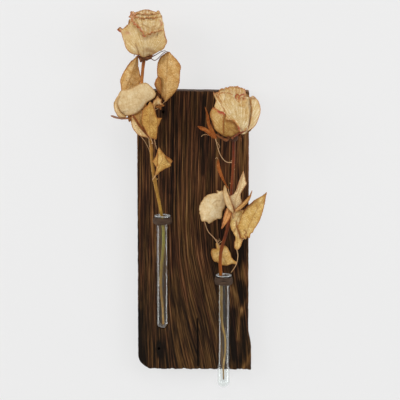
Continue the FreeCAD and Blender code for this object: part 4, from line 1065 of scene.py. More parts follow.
            (221.4, 229), (222.3, 223), (223.5, 217), (225.2, 211.5)],
        "rib": [(229, 209.4, -52), (227.2, 216, -54), (222.2, 227.6, -57)], "cup": (2.2, 2.2), "tone": 0.5,
        "length": 28, "brown": [(0.7, 0.6, (226, 210), (224, 217), (222, 226))],
    }]},
    "right_leaf_large": {"tissue": "yellow",
        "stalk": [(47.2, -39.9, -126), (55, -41.5, -140), (58, -44, -155)], "blades": [{
        "outline": [(266.8, 192.2), (265.9, 196.4), (265, 202), (264, 207), (262.4, 213), (260.2, 219.4),
            (257, 225.2), (254.6, 228.8), (252.6, 232.4), (250.6, 234), (249.6, 238), (247.2, 237),
            (245.6, 239.4), (243.4, 238), (240.8, 239.4), (239.6, 235.6), (237.6, 231.6), (236.6, 228.4),
            (238.4, 224), (240.6, 218.5), (242.4, 213.5), (244, 210), (246, 207.5), (248.5, 205), (252, 202),
            (256, 199), (261, 196.5), (265, 193.5)],
        "rib": [(245, 238, -51), (249.4, 225, -53.5), (255.6, 212, -55.5), (266.4, 193.6, -56.5)],
        "cup": (4, 3), "tone": 0.06, "wavy": 1.3, "length": 62, "ragged": 0.34,
        "brown": [
            (0.7, 0.85, (244.6, 230), (246.4, 232.4), (244.6, 234.6), (246, 237)),
            (1.3, 1, (237, 228.4), (239, 232.6), (240.4, 238)),
            # painted shadow: the first mark on the next line lies under the folded leaf
            (1.6, 0.85, (243.4, 211), (247, 206.8), (252, 202.8)), (0.7, 0.5, (266, 197), (263, 203)),
            (1.5, 0.5, (249.4, 206.6), (253, 203.4), (257, 201)), (0.8, 0.5, (256.6, 204.6), (257.4, 208)),
        ],
    }]},
    "right_leaf_hanging": {"tissue": "yellow", "stalk": [(48.9, -43.2, -95), (54, -43.5, -99)], "blades": [{
        "outline": [(232, 214.5), (236, 211.5), (240, 210.5), (244, 210), (246.2, 213), (246, 217.5),
            (244.4, 221.5), (242.6, 225), (239.6, 227), (240.2, 231), (241.6, 235), (242.8, 239),
            (241.8, 243.2), (240, 247.4), (237.2, 249.8), (234.8, 248.2), (234.6, 243), (235.4, 237.4),
            (233, 232.6), (230.6, 227.4), (230.2, 222)],
        "rib": [(241.6, 211.4, -47), (237, 221, -49), (237.4, 233, -49.5), (237, 248.6, -48)], "cup": (3, 3),
        # painted light: a tone of 0.26 lightens this leaf against the shade of the leaves above
        "tone": 0.26, "wavy": 1.5, "length": 50, "ragged": 0.34,
        "brown": [(1.4, 1, (236.6, 226), (238.6, 231), (240.6, 238)),
            (1.1, 0.7, (234.4, 231), (236.6, 226.6), (236, 221))],
    }]},
    "right_leaf_round": {"tissue": "yellow",
        "stalk": [(37.6, -36.1, -162.6), (39.5, -31.5, -156)], "blades": [{
        "outline": [(216.6, 242.6), (219.4, 244.6), (222.4, 245.2), (226, 246.2), (229, 250), (230.6, 254.5),
            (232.4, 258.6), (236.8, 262.2), (236.4, 264), (232, 264), (226, 265.6), (221, 265),
            (217.5, 262.5), (214, 261), (211.5, 256), (211, 251.5), (213, 248.6), (216.5, 248.8),
            (215.8, 245)],
        "rib": [(218, 244, -27.5), (220.4, 250, -28.6), (223.6, 257, -29.2), (227, 264.4, -29)],
        "cup": (2.6, 2.6), "tone": 0.08, "wavy": 1.1, "length": 26, "ragged": 0.3,
        "brown": [(0.5, 0.55, (212, 250), (213.4, 258), (218.6, 262.6))],
    }]},
    "right_leaf_curled_long": {"tissue": "orange", "stalk": [], "blades": [{
        "outline": [(205, 106.8), (206.6, 110), (208.4, 114.5), (209.4, 119.5), (210.6, 124.5),
            (213.2, 129.5), (215.4, 134), (217, 138.6), (214.6, 137.6), (211.3, 133.2), (208.3, 127.5),
            (206.9, 122), (206.6, 116.5), (205.8, 111)],
        "rib": [(215.8, 138, -55), (212, 131.6, -55.5), (208.4, 122.6, -55.5), (206, 109, -54)],
        "cup": (-2.5, -1.5), "tone": 0.12, "length": 42,
        "brown": [(0.5, 0.6, (214.6, 134.6), (210.8, 127.8), (208.6, 119.6))],
    }]},
    "right_leaf_curled_short": {"tissue": "orange", "stalk": [], "blades": [{
        "outline": [(197.8, 126.4), (201, 126.4), (205, 127.6), (208.4, 129.5), (212, 133.5), (215.6, 138.4),
            (213, 138), (209, 135), (205, 131.6), (200.8, 129.8)],
        "rib": [(215, 138, -53), (209.4, 132.4, -51.5), (204, 129.2, -50.6), (198.4, 127, -50)],
        "cup": (-2, -1.5), "tone": 0.1, "length": 24, "brown": [(0.7, 0.7, (198.4, 127), (203, 127.4))],
    }]},
}

dried = {kind: driedTissue(kind) for kind in tissues}
leafBases = {}
for name, leaf in leaves.items():
    seed = sum(map(ord, name)) % 89
    shape = newShape()
    for number, blade in enumerate(leaf["blades"]):
        addLeafBlade(shape, blade, seed + 11 * number)
    kind = leaf["tissue"]
    body = name.split("_")[0] + "_rose"
    addPiece(name + "_dried", name, shape, dried[kind], body, leafHabit["thick"])
    leafBases[name] = seenLine(leaf["blades"][0]["rib"][:1])[0]


# Blooms: a ball of petals whose front ones are drawn one by one, and seeded ones behind.
# Each ball row is a height in the picture, the ball's middle and half width there, and its reach in mm.
# A petal stands off the ball by its own "ball", in mm. Its folds are a half width, a height in mm and points.

blooms = {
    "left": {
        "base": (-62, -42, 87), "lean": (-1, 2), "radius": 28.5, "height": 58, "axis": -42,
        "root": (144.8, 57.5),
        "ball": [(10, 145.5, 14, 8), (16.5, 145.2, 15.8, 14), (20, 146, 16.2, 17), (24, 143.7, 19.9, 20.5),
            (28, 142.2, 23.2, 23.5), (33, 143.5, 22.2, 26), (38, 144.6, 22, 27), (42, 145.6, 21.5, 26.8),
            (47, 145.5, 19.8, 24.5), (50.8, 144.6, 17.2, 20), (53.2, 143.8, 13.6, 14), (55, 144.5, 9.5, 9),
            (57.5, 144.8, 4, 3)],
        "inner_petals": [{
            "outline": [(133, 14.4), (136.5, 12.6), (142, 11.6), (149, 11.4), (156, 12.2), (160.4, 13.6),
                (161.2, 16.6), (159.4, 18.4), (156.6, 17.6), (154, 18.9), (151, 17.6), (148.6, 19),
                (146.4, 18), (144.2, 20), (141.6, 18.6), (139.6, 19.6), (138, 17.2), (135.4, 17.6)],
            "hidden": [(133.4, 14.2), (142, 11.6), (149, 11.4), (156, 12.2), (160.2, 13.6)], "ball": 5.6,
            "crumple": 1.8, "rim": 1.3, "ragged": 0.6, "fray": 0.5, "streak": 0.1, "root": (148, 40),
            "tone": 0.12,
            "folds": [
                (1, 1.4, (137, 16.2), (144, 17.8), (151, 16.6), (158, 16.6)),
                (0.8, -1, (138, 14.6), (146, 15.4), (154, 14.6)),
            ],
            "brown": [
                # painted shade: the first two brown lines run along its margin, where it stands in front of
                # the back petals
                (0.75, 0.7, (139, 17.8), (142.2, 19.2), (146.2, 18), (149.2, 18.6)),
                (0.6, 0.55, (153.6, 18.2), (158, 17.6)), (0.6, 0.35, (140, 14.8), (147, 15.2), (153, 14.8)),
            ],
            "red": [(1, 0.5, (133.2, 15.2), (136.6, 17))],
        }],
        "heart": [{
            "outline": [(131.2, 14), (132, 12), (133.6, 11.4), (135.5, 12.3), (138.5, 11.2), (142, 10.2),
                (145.5, 9.4), (149, 9.9), (152, 10.8), (154.4, 11.4), (156.2, 12.2), (157.6, 10.8),
                (158.8, 10.4), (160, 12), (160.4, 14), (157.4, 13.4), (155, 14.8), (151.6, 13.6), (148, 15),
                (145, 13.8), (141.6, 14.8), (138.4, 13.6), (135.6, 15.2), (133, 15)],
            "ball": 7, "crumple": 1.6, "rim": 1.1, "ragged": 0.55, "fray": 0.5, "streak": 0.1,
            "root": (147, 36), "tone": 0.16,
            "folds": [(0.9, 1.1, (136, 13), (144, 12.2), (152, 12.4), (158, 12.8))],
            "red": [(1.2, 0.55, (131.8, 13), (134.6, 14.4)), (0.8, 0.25, (143, 12), (150, 11.2))],
            "brown": [(0.5, 0.5, (145.4, 9.8), (150.6, 10.6))],
        }],
        "outer_petals": [{
            "outline": [(159.4, 16), (161, 14.8), (162.1, 16.6), (162.4, 20), (163.2, 24), (164, 28),
                (165, 34.5), (166.1, 38), (167.1, 41.5), (165.7, 45), (163.8, 48.5), (159.6, 50.8), (156, 44),
                (157.6, 36), (158.4, 30), (157.6, 25), (157.6, 20)],
            "hidden": [(157.6, 20), (158.4, 30), (156, 44), (159.6, 50.8)], "ball": 0.9, "crumple": 0.6,
            "rim": 1.2, "streak": 0.08, "tone": 0.05,
            "brown": [(0.6, 0.9, (161, 15.2), (161.8, 17)),
                (0.8, 0.6, (164.2, 35), (166.2, 39.4), (166.6, 42))],
        }, {
            "outline": [(117, 29.8), (118.4, 28.2), (120.4, 27), (122, 28.4), (123.7, 28), (127, 25),
                (129.4, 23.6), (129.8, 20.4), (131, 18.4), (134, 20), (140, 24), (150, 26), (160, 24),
                (162.6, 26), (164, 31), (165.6, 38), (166.6, 41.5), (165.4, 45), (163.4, 48.4), (159.8, 50.6),
                (156, 53), (152.2, 55), (148.6, 56.8), (144.4, 57.4), (141.2, 56.6), (139.4, 55),
                (137.5, 54.9), (133.4, 54.2), (131, 53.2), (128.2, 51), (125.6, 47.2), (124.2, 42.2),
                (122.7, 38), (121.4, 33.4), (119.4, 31.8)],
            "hidden": [(131, 18.4), (140, 24), (150, 26), (160, 24), (164, 31)], "ball": 0.6, "crumple": 0.45,
            "rim": 1, "streak": 0.07, "root": (146, 60), "tone": 0.08,
            "folds": [(0.9, 0.8, (134.4, 44), (136.2, 49), (138, 54.5)),
                (0.7, -0.6, (136.6, 41), (138, 47), (139.6, 54.5)),
                (1.6, -0.7, (152, 40), (149, 48), (146.4, 55)), (2.2, 0.6, (160, 36), (158, 45), (151, 53)),
                (1.3, 1.6, (118, 30), (124, 31.4), (128, 30)),
                (2, -0.8, (144, 38.6), (151, 36.6), (158, 34.6))],
            "red": [(1.5, 0.4, (126.4, 32.8), (129.2, 33)), (1.2, 0.85, (118, 30.6), (120.6, 31))],
            "brown": [
                # painted shadow: this line down the crease lies where the left margin overlaps
                (0.7, 0.6, (135.6, 44), (137.4, 49), (138.9, 54.4)),
                (2.2, 0.55, (146.6, 49.6), (150, 50.2), (153.4, 52.2)), (1.6, 0.5, (147, 55.4), (150, 54)),
                (0.7, 0.4, (143.4, 47), (143.6, 51), (143.6, 55.6)),
                (0.6, 0.6, (152, 55.4), (157.6, 52.6), (162.8, 49.4), (166, 44)),
                (1, 0.9, (117.6, 30), (119.6, 27.8), (122.6, 28.6)), (0.8, 0.5, (125, 27.4), (127.6, 25.6)),
                # painted shade: this line lies under the lip of the petal above
                (1.4, 0.3, (145, 38.2), (150, 36.4), (156, 34.6)),
            ],
        }, {
            "outline": [(130.6, 12.2), (133.2, 12), (136, 14), (141, 16.4), (148, 16.6), (155, 16.4),
                (160.5, 16), (162.6, 20), (163.6, 25), (163.8, 29.2), (162.2, 30.4), (160, 30.8),
                (158.6, 32.2), (156.4, 31.8), (154.6, 33.4), (152, 33.2), (150.4, 35), (147.6, 34.4),
                (146.2, 36.6), (144, 37), (142.4, 35.4), (142.8, 32.6), (140.6, 31.4), (139.8, 28.6),
                (137.2, 28), (136.2, 25.4), (133.6, 25), (132.8, 22.4), (130.4, 21.4), (131, 18.6),
                (128.4, 16.8), (130.4, 15.2)],
            "hidden": [(134, 12.6), (141, 16.4), (148, 16.6), (155, 16.4), (161, 16.4), (163, 21),
                (163.8, 28)],
            "ball": 4.4, "crumple": 2.1, "rim": 1.5, "ragged": 0.8, "fray": 0.75, "streak": 0.1,
            "root": (150, 52), "tone": 0.12,
            "folds": [
                (1.3, 1.9, (133, 20), (137.6, 25), (141.4, 29.4), (144.4, 34), (149.5, 33), (155, 31),
                    (160.4, 29.4)),
                (1.2, -1.3, (136, 19), (141, 24.4), (144.8, 29.8), (150, 29.9), (156, 28), (161, 26.6)),
                (1.2, 1.3, (142, 22.6), (149, 25.6), (156, 23.4)),
                (1, 1, (146, 20.4), (152, 21.6), (158, 20)),
            ],
            "red": [
                (1.3, 0.55, (130.8, 14), (133, 17), (132.4, 20.4)),
                (1.1, 0.6, (134, 22.6), (137, 25.6), (140.4, 29.6), (142.6, 34), (144.4, 36)),
                (0.8, 0.6, (159.6, 20.6), (161.9, 23.3), (160.9, 25.6)),
            ],
            "brown": [
                (0.8, 0.6, (144, 36.4), (148, 34.6), (152.6, 33.4), (157, 32), (161, 30.8)),
                (0.8, 0.4, (143, 24.4), (149, 27.6), (156, 25.8)),
                (0.7, 0.4, (150, 30.6), (156, 29), (160, 27.6)),
            ],
        }],
    },
    "right": {
        "base": (52, -51.2, -16), "lean": (4, 3), "radius": 29, "height": 61, "axis": -51.5,
        "root": (233, 138),
        "ball": [(86, 231, 12, 6), (93, 230, 16.5, 14), (98, 235.5, 20.6, 20), (101, 236.8, 21.5, 22.5),
            (106, 237.2, 23, 25.5), (111.5, 235.5, 24.9, 27.5), (115, 234.8, 25.1, 28),
            (117.7, 234.6, 24.2, 27.8), (124, 234.4, 21.8, 25.5), (128.2, 233.5, 19.2, 22),
            (130.8, 232.6, 16, 18), (133, 231.6, 12.4, 14), (135.5, 232, 8.6, 9), (139, 233.2, 4, 3)],
        "inner_petals": [{
            "outline": [(214.4, 94.8), (217, 92.2), (218.6, 91.6), (219.4, 89.2), (221.4, 88.3), (224, 88.6),
                (226.4, 87.2), (229, 87.4), (231, 86), (234, 86.9), (237.2, 86), (240.5, 87.8), (244.4, 88.6),
                (245.2, 91.6), (245.9, 95.3), (247.4, 98), (248, 104), (240, 108), (228, 108), (218, 103)],
            "hidden": [(247.4, 98), (248, 104), (240, 108), (228, 108), (218, 103)], "ball": 0,
            "crumple": 1.9, "rim": 1.5, "ragged": 0.9, "fray": 0.6, "streak": 0.14, "root": (236, 128),
            "tone": 0.1,
            "red": [(1.2, 0.3, (229.6, 89.4), (231.6, 91.2)), (2.2, 0.2, (236, 91), (240, 91.6))],
            # painted shade: the first brown line lies inside the fold beside the bright strip
            "brown": [(1, 0.6, (216.6, 95), (218.4, 97.8)), (1.1, 0.5, (221.6, 90.2), (224.6, 90.2)),
                (0.5, 0.5, (235, 87.4), (239, 88.6))],
        }, {
            "outline": [(213.4, 92.6), (215.4, 93.8), (217.2, 97), (219.4, 93.6), (223, 91.8), (227.5, 92.2),
                (231.5, 93.8), (234.8, 96.2), (237, 102), (236, 111), (229, 115), (224.4, 113), (222, 108),
                (218.4, 101.4), (215.2, 97)],
            "hidden": [(234.8, 96.2), (237, 102), (236, 111), (229, 115), (222, 108)], "ball": 1,
            "crumple": 1.4, "rim": 1.2, "ragged": 0.6, "fray": 0.5, "streak": 0.14, "root": (239, 130),
            "tone": 0.14, "folds": [(0.8, -1.4, (225.4, 92.6), (225.6, 101))],
            "brown": [(0.55, 0.6, (225.3, 93), (225.7, 100.6)),
                (0.8, 0.5, (216.4, 94.6), (219.4, 98.8), (221.4, 102))],
        # painted shade: this brown line lies inside the fold beside the bright strip
        }],
        "heart": [{
            "outline": [(236, 99.8), (235, 96.6), (237, 93.8), (239.6, 95.2), (241, 94), (243.8, 93.6),
                (245.6, 95.6), (244.4, 98), (246.4, 99.2), (247, 103), (245.4, 107), (240, 107)],
            "hidden": [(246.4, 101), (245.4, 107), (240, 107), (236, 101)], "ball": 1.7, "crumple": 2,
            "rim": 1.3, "ragged": 0.6, "fray": 0.7, "streak": 0.1, "root": (241, 128), "tone": 0,
            "folds": [(0.8, 1.8, (238.6, 98.6), (241, 96.6), (244.6, 98.8))],
            "red": [(1, 0.8, (234.8, 99.6), (235.4, 96.4), (237.4, 94.2)),
                (0.9, 0.8, (238.4, 98.6), (240.4, 95.6), (243.4, 94.3)),
                (2, 0.28, (236.4, 97.6), (239, 100.4), (243.6, 99))],
            "brown": [(0.7, 0.5, (239.6, 98.6), (242.4, 97.4), (244.6, 99.2)),
                (0.7, 0.9, (246.6, 102.4), (247, 103.6))],
        }],
        "outer_petals": [{
            "outline": [(240, 97.6), (244, 97), (247.4, 97), (249.8, 97.4), (251, 101), (252, 107),
                (252.4, 112), (251.4, 120), (250.2, 127), (247.8, 131.4), (244, 134), (238, 131), (238, 110)],
            "hidden": [(240, 97.6), (251, 101), (252, 107), (252.4, 114), (250.4, 127), (244, 134)],
            "ball": 0.1, "crumple": 0.6, "rim": 1, "streak": 0.14, "root": (243, 133), "tone": 0.18,
            "folds": [(0.9, 1.2, (245.6, 101), (248.2, 114), (246.6, 129))],
            "brown": [(0.8, 0.4, (248.8, 104), (249.4, 116), (247.6, 128)),
                (1.6, 0.55, (244, 127.6), (247.2, 129.8))],
        }, {
            "outline": [(213, 107.6), (215.2, 108.4), (218.2, 109.8), (220.2, 111.4), (223, 111.2),
                (225.6, 112.8), (224.6, 116), (224, 122), (223.7, 128), (223.9, 134.4), (222.6, 135.2),
                (219.2, 132.8), (215, 129.4), (212.8, 123.6), (210.8, 118.6), (209.9, 115), (210.6, 111.4)],
            "ball": 0.9, "crumple": 0.5, "rim": 1.1, "streak": 0.1, "root": (230, 139), "tone": -0.08,
            # the first red line is the petal's deep red, deepened by painted shade under the tip of the strip
            # petal
            "red": [(1.5, 1, (218.6, 111.4), (222, 112.6), (225.4, 113.6)),
                (1, 0.5, (213.4, 108.4), (216, 109.6))],
            "brown": [(0.8, 0.7, (223.4, 115), (223.4, 124), (223.6, 133)),
                (0.8, 0.5, (211.4, 112), (211.6, 118), (214.6, 127)), (1.6, 0.3, (219.6, 113), (223.4, 117))],
        }, {
            "outline": [(223, 115.4), (226.4, 117.6), (229.7, 118.6), (233.6, 119.6), (237.2, 122.2),
                (239.6, 126.4), (239.6, 130.6), (237.8, 133.6), (235, 136.8), (231, 138.2), (226.5, 136.8),
                (223.3, 135.2), (223, 128), (222.8, 121)],
            "hidden": [(223, 115.4), (222.8, 121), (223, 128), (223.3, 135.2)], "ball": 0.2, "crumple": 0.7,
            "rim": 0.8, "streak": 0.13, "root": (232, 139), "tone": -0.24,
            "brown": [
                # painted shade: this band lies under the rolled margin of the central petal in front
                (1.5, 0.75, (226, 120.8), (230, 121.6), (233.8, 123), (236.4, 126.4), (237, 129.6)),
                (0.8, 0.4, (229, 128), (233.4, 131.4), (236, 134.4)), (0.7, 0.6, (223.6, 118), (223.8, 133)),
            ],
        }, {
            "outline": [(213.2, 92.4), (214.8, 93.2), (216.6, 96.4), (218.8, 100.2), (221.8, 105.2),
                (224.2, 109.6), (226, 112.6), (222.4, 112), (218.4, 110.4), (215.6, 108.8), (214.4, 106.6),
                (215.2, 103.4), (216, 100.4), (214.6, 97)],
            "ball": 0.6, "crumple": 0.4, "rim": 0.7, "streak": 0.1, "root": (234, 134), "tone": 0.14,
            "folds": [(0.9, 2, (214.4, 94.4), (218, 100.6), (223.8, 110.6))],
            "red": [(0.7, 0.8, (213.4, 92.8), (214.2, 94.2))],
        }, {
            "outline": [(226.6, 98.4), (231, 97.2), (235, 98.4), (238, 99.8), (241.5, 101.4), (244.6, 101),
                (246.8, 104.6), (248.2, 110), (248.6, 118), (247.4, 126), (245, 131.5), (241.4, 133.4),
                (238.8, 130.6), (237.9, 127), (236.2, 123.9), (233.5, 121.3), (229.8, 120.2), (226.2, 119.4),
                (225.6, 114.6), (223.6, 110.4), (221.8, 106), (223.2, 101.6)],
            "hidden": [(222.4, 105), (226.6, 98.4), (231, 97.2), (238, 99.8), (244.6, 101), (248.2, 110),
                (248.6, 118), (247.4, 126)],
            "ball": 1.5, "crumple": 0.7, "rim": 1.2, "ragged": 0.5, "fray": 0.35, "streak": 0.13,
            "root": (241.5, 131), "tone": 0.14,
            "folds": [
                (1.1, 2.6, (226.4, 118.6), (229.8, 119.4), (233.4, 120.6), (236, 123.2), (237.6, 126.6),
                    (238.2, 130)),
                (1.1, -0.8, (243.4, 103.6), (245.4, 114), (243.6, 128)),
            ],
            "brown": [(1.4, 0.6, (238.4, 128), (240.6, 128.6), (242.4, 130.6))],
            "red": [(0.9, 0.7, (238, 126.4), (239.4, 130))],
        }, {
            "outline": [(247.2, 131.4), (248.8, 126), (250.2, 118), (251, 112), (250.6, 106), (249.6, 101),
                (249.8, 98), (252.6, 95.8), (255.3, 97.4), (256.6, 99), (258.4, 101.2), (260.1, 106.2),
                (260.4, 111.5), (258.8, 117.7), (256.1, 124.2), (252.4, 128.6)],
            "ball": 0.9, "crumple": 0.5, "rim": 0.9, "streak": 0.12, "root": (245, 134), "tone": 0.16,
            "folds": [(1.3, 1.8, (251.4, 101), (252.4, 112), (250.6, 124)),
                (1.1, 2.2, (250.8, 98.6), (253, 97.2), (255.4, 98.6))],
            "brown": [
                (0.8, 0.75, (250.4, 99.6), (251.2, 106), (251.6, 112), (250.2, 120), (248.8, 127)),
                (1.5, 0.65, (251, 98.6), (254.6, 98.4)),
            ],
        }],
    },
}

petalHabit = {
    "thick": 0.35,
    "step": 0.42,            # pixels between the points of a petal
    "streaks": 23.0,         # how many wrinkles stand in a radian around the root
    "streakLength": 14.0,    # pixels
    "wrinkle": 0.24,         # mm, their height
    "buckles": ((0.5, 3.4), (0.45, 1.4)),        # how deep for a crumple of 1, and pixels across
    "buckleShare": (0.45, 1.2),                  # share inside the petal, and what the margin adds
    "creaseShare": (0.25, 0.8),
    "creaseSize": 2.4,
    "rimReach": 2.5,         # mm in from the margin that crumple more
    "frayReach": 3.5,
    "hiddenReach": 1.6,      # pixels
    "grid": (44, 40),        # points up and across a petal behind
    # the ball's radius at each height, as shares
    "profile": ((0.01, 0.16), (0.065, 0.5), (0.16, 0.8), (0.31, 0.97), (0.47, 1), (0.66, 0.89), (0.81, 0.78),
        (0.9, 0.79)),
    # seeded petals behind: azimuth from the viewer in degrees, half spread, top and radius as shares
    "behind": {
        "outer_petals": [(98, 38, 0.72, 0.9), (-100, 38, 0.6, 0.9), (135, 48, 0.78, 0.92),
            (-138, 44, 0.62, 0.9), (180, 50, 0.86, 0.97)],
        "inner_petals": [(108, 44, 0.8, 0.78), (-112, 44, 0.6, 0.76), (150, 50, 0.88, 0.8),
            (-158, 46, 0.82, 0.76)],
    },
}


def ballDepth(bloom, spots):
    # the Y of the ball's front where each spot of the picture meets it
    middle, half, reach = (readOff(bloom["ball"], spots[:, 1], column) for column in (1, 2, 3))
    share = np.clip((spots[:, 0] - middle) / half, -0.995, 0.995)
    return bloom["axis"] - reach * np.sqrt(1 - share * share)


def addFrontPetal(shape, bloom, spec, seed):
    spots, triangles, known = sheetOf(spec, seed, petalHabit["step"])
    edge = known["edge"]
    away = spots - np.array(spec.get("root", bloom["root"]))
    turn = np.arctan2(away[:, 0], -away[:, 1])
    reach = np.hypot(away[:, 0], away[:, 1])
    fan = np.column_stack([turn * petalHabit["streaks"], reach / petalHabit["streakLength"]])
    streak = noiseOver(fan, 1.0, seed, 2)
    hidden = np.zeros(len(spots))
    if "hidden" in spec:         # a margin that lies under another petal keeps its plain colour
        gap = nearest(spots, smoothPath(spec["hidden"], 60))[0]
        hidden = np.exp(-((gap / petalHabit["hiddenReach"]) ** 2))
    nearRim = np.exp(-edge / petalHabit["rimReach"]) * (1 - hidden)
    depths = ballDepth(bloom, spots) - spec["ball"] + petalHabit["wrinkle"] * streak * ease(4, 20, reach)
    buckle = 0
    for number, (height, size) in enumerate(petalHabit["buckles"]):
        buckle = buckle + height * noiseOver(spots, size, seed + 2 + 2 * number, 2)
    crease = 0.5 - abs(noiseOver(spots, petalHabit["creaseSize"], seed + 8))
    for height, share, sign in ((buckle, "buckleShare", 1), (crease, "creaseShare", -1)):
        plain, more = petalHabit[share]
        depths = depths + sign * spec["crumple"] * height * (plain + more * nearRim)
    for width, rise, *line in spec.get("folds", []):
        depths = depths - rise * np.exp(-((nearest(spots, smoothPath(line, 40))[0] / width) ** 2))
    fray = spec.get("fray", 0.0) * np.exp(-edge / petalHabit["frayReach"]) * (1 - hidden)
    known["vein"] = np.clip(0.5 - streak, 0, 1) * ease(2, 12, reach)
    known["edge"] = edge / spec["rim"] + 0.5 * noiseOver(spots, 2.4, seed + 6) + 4 * hidden
    values = dressSheet(spec, spots, known, seed)
    tone = 0.48 + 0.62 * (values["tone"] - 0.5) + 0.8 * spec.get("tone", 0.0) + 1.7 * spec["streak"] * streak
    values["tone"] = tone + 0.9 * fray * noiseOver(spots, 1.1, seed + 12)
    values["red"] = np.maximum(values["red"], 0.7 * fray * ease(-0.1, 0.5, noiseOver(spots, 1.5, seed + 13)))
    grow(shape, seenPlaces(spots, depths), triangles, values)


def bloomFrame(bloom):
    # a bloom's root and its directions: up its axis, to the side and to the front
    right, forward = (math.radians(a) for a in bloom["lean"])
    axis = Vector((math.sin(right), -math.sin(forward), math.cos(right) * math.cos(forward))).normalized()
    side = Vector((1, 0, 0))
    side = (side - axis * side.dot(axis)).normalized()
    return Vector(bloom["base"]), axis, side, side.cross(axis)


def addBackPetal(shape, bloom, petal, seed):
    # a petal on the ball by its azimuth, opened out a little where its margin has dried
    azimuth, spread, top, share = petal
    base, axis, side, front = bloomFrame(bloom)
    rows, columns = petalHabit["grid"]
    points, values = [], {key: [] for key in ("edge", "vein", "tone", "brown", "red")}
    for up in (i / (rows - 1) for i in range(rows)):
        wide = 1 - (1 - up) ** 3.2
        for across in (2 * j / (columns - 1) - 1 for j in range(columns)):
            margin = 1 - 0.16 * abs(across) ** 3
            margin += 0.035 * ripple(across * 3.1, seed, 4.4) + 0.02 * ripple(across * 11, seed, 2.2)
            height = top * margin * up
            angle = math.radians(azimuth + spread * across * wide)
            wrinkle = ripple(across * 14, up * 1.2, seed + 7)
            r = share * readOff(petalHabit["profile"], height) * bloom["radius"]
            r += 1.1 * ripple(across * 2.2, up * 2.6, seed, 2) * up + petalHabit["wrinkle"] * wrinkle
            r += 2.2 * up**6 * (0.5 + ripple(across * 4.5, up, seed + 3))
            out = front * math.cos(angle) + side * math.sin(angle)
            points.append(tuple(base + axis * (height * bloom["height"]) + out * r))
            toSide = (1 - abs(across)) * math.radians(spread) * max(r, 1.0)
            toMargin = min((1 - up) * bloom["height"], toSide)
            values["edge"].append(toMargin / 1.4 + 0.5 * ripple(across * 6, up * 6, seed))
            values["vein"].append(max(0.0, 0.5 - wrinkle))
            values["tone"].append(0.5 + 0.3 * ripple(across * 2, up * 3, seed + 9, 2))
            values["brown"].append(0.7 * math.exp(-((height / 0.10) ** 2)))
            values["red"].append(0.5 * max(0.0, ripple(across * 4, up * 4, seed + 5)) * up**8)
    grow(shape, points, gridFaces(rows, columns), values)


for side, bloom in blooms.items():
    for part in ("outer_petals", "inner_petals", "heart"):
        shape = newShape()
        for number, petal in enumerate(bloom[part]):
            addFrontPetal(shape, bloom, petal, 3 + 5 * number + len(part))
        for number, petal in enumerate(petalHabit["behind"].get(part, [])):
            addBackPetal(shape, bloom, petal, 1.7 * number + len(part) + (9 if side == "left" else 0))
        rose = side + "_rose"
        node = rose + "_" + part
        addPiece(node + "_dried", node, shape, dried["petal"], rose, petalHabit["thick"])
print("blooms ready")


# Stems, stalks, hips and sepals.


def addTube(shape, path, radii, sides, values, rough=0.0, seed=0.0):
    # a round rod along a path; its ends are closed, and its skin may be uneven
    path = [Vector(p) for p in path]
    turned = Vector((1, 0, 0))
    skin = []
    for i, spot in enumerate(path):
        ahead = (path[min(i + 1, len(path) - 1)] - path[max(i - 1, 0)]).normalized()
        turned = (turned - ahead * turned.dot(ahead)).normalized()
        other = ahead.cross(turned)
        for k in range(sides):
            angle = 2 * math.pi * k / sides
            r = radii[i] * (1 + rough * ripple(6.0 * k / sides, i * 0.13, seed, 2))
            skin.append(tuple(spot + (turned * math.cos(angle) + other * math.sin(angle)) * r))
    last = (len(path) - 1) * sides
    faces = gridFaces(len(path), sides, True)
    for k in range(sides):
        faces.append((len(skin), (k + 1) % sides, k))
        faces.append((len(skin) + 1, last + k, last + (k + 1) % sides))
    spread = {}
    for key, numbers in values.items():
        spread[key] = [n for n in numbers for _ in range(sides)] + [numbers[0], numbers[-1]]
    grow(shape, skin + [tuple(path[0]), tuple(path[-1])], faces, spread)


def driedStem(name, stops, low, high, rough):
    # a dried woody stem: the bark shrinks into fine ridges along it, with a slight shine
    material, tree = newMaterial(name)
    ridgeWidth, ridgeLength, blotchSize = 0.5 * mm, 9.0 * mm, 5.0 * mm
    layer = {}
    for key in ("height", "tone"):
        layer[key] = addNode(tree, "Attribute", {"attribute_name": key}).outputs["Fac"]
    place = addNode(tree, "TexCoord", {}).outputs["Object"]
    stretch = (1 / ridgeWidth, 1 / ridgeWidth, 1 / ridgeLength)
    stretched = addNode(tree, "VectorMath", {"operation": "MULTIPLY", 0: place, 1: stretch})
    ridges = addNode(tree, "TexNoise", {"Vector": stretched, "Scale": 1.0, "Detail": 3.0})
    blotch = addNode(tree, "TexNoise", {"Vector": place, "Scale": 1 / blotchSize, "Detail": 3.0})
    share = addNode(tree, "MapRange", {"Value": layer["height"], "From Min": low, "From Max": high})
    shade = addNode(tree, "ValToRGB", {"stops": stops, "Fac": share}).outputs[0]
    dark = addNode(tree, "MapRange", {
        "Value": blotch, "From Min": 0.35, "From Max": 0.7, "To Min": 0.0, "To Max": 0.45,
    })
    streaks = addNode(tree, "MapRange", {
        "Value": ridges, "From Min": 0.35, "From Max": 0.65, "To Min": 0.35, "To Max": 0.0,
    })
    # the tone attribute lightens the bark: painted glints on the stems, and the paler straw of stalks and
    # thorns
    for amount, tint in ((dark, "#3d2414"), (streaks, "#2e1a10"), (layer["tone"], "#e2c48e")):
        coat = addNode(tree, "Mix", {"data_type": "RGBA", 0: amount, 6: shade, 7: colour(tint)})
        shade = coat.outputs[2]
    bump = addNode(tree, "Bump", {"Strength": 0.5, "Distance": 0.2 * mm, "Height": ridges})
    shader = addNode(tree, "BsdfPrincipled", {
        "Base Color": shade, "Roughness": rough, "IOR": 1.45, "Specular IOR Level": 0.2, "Normal": bump,
    })
    return finishMaterial(material, tree, shader)


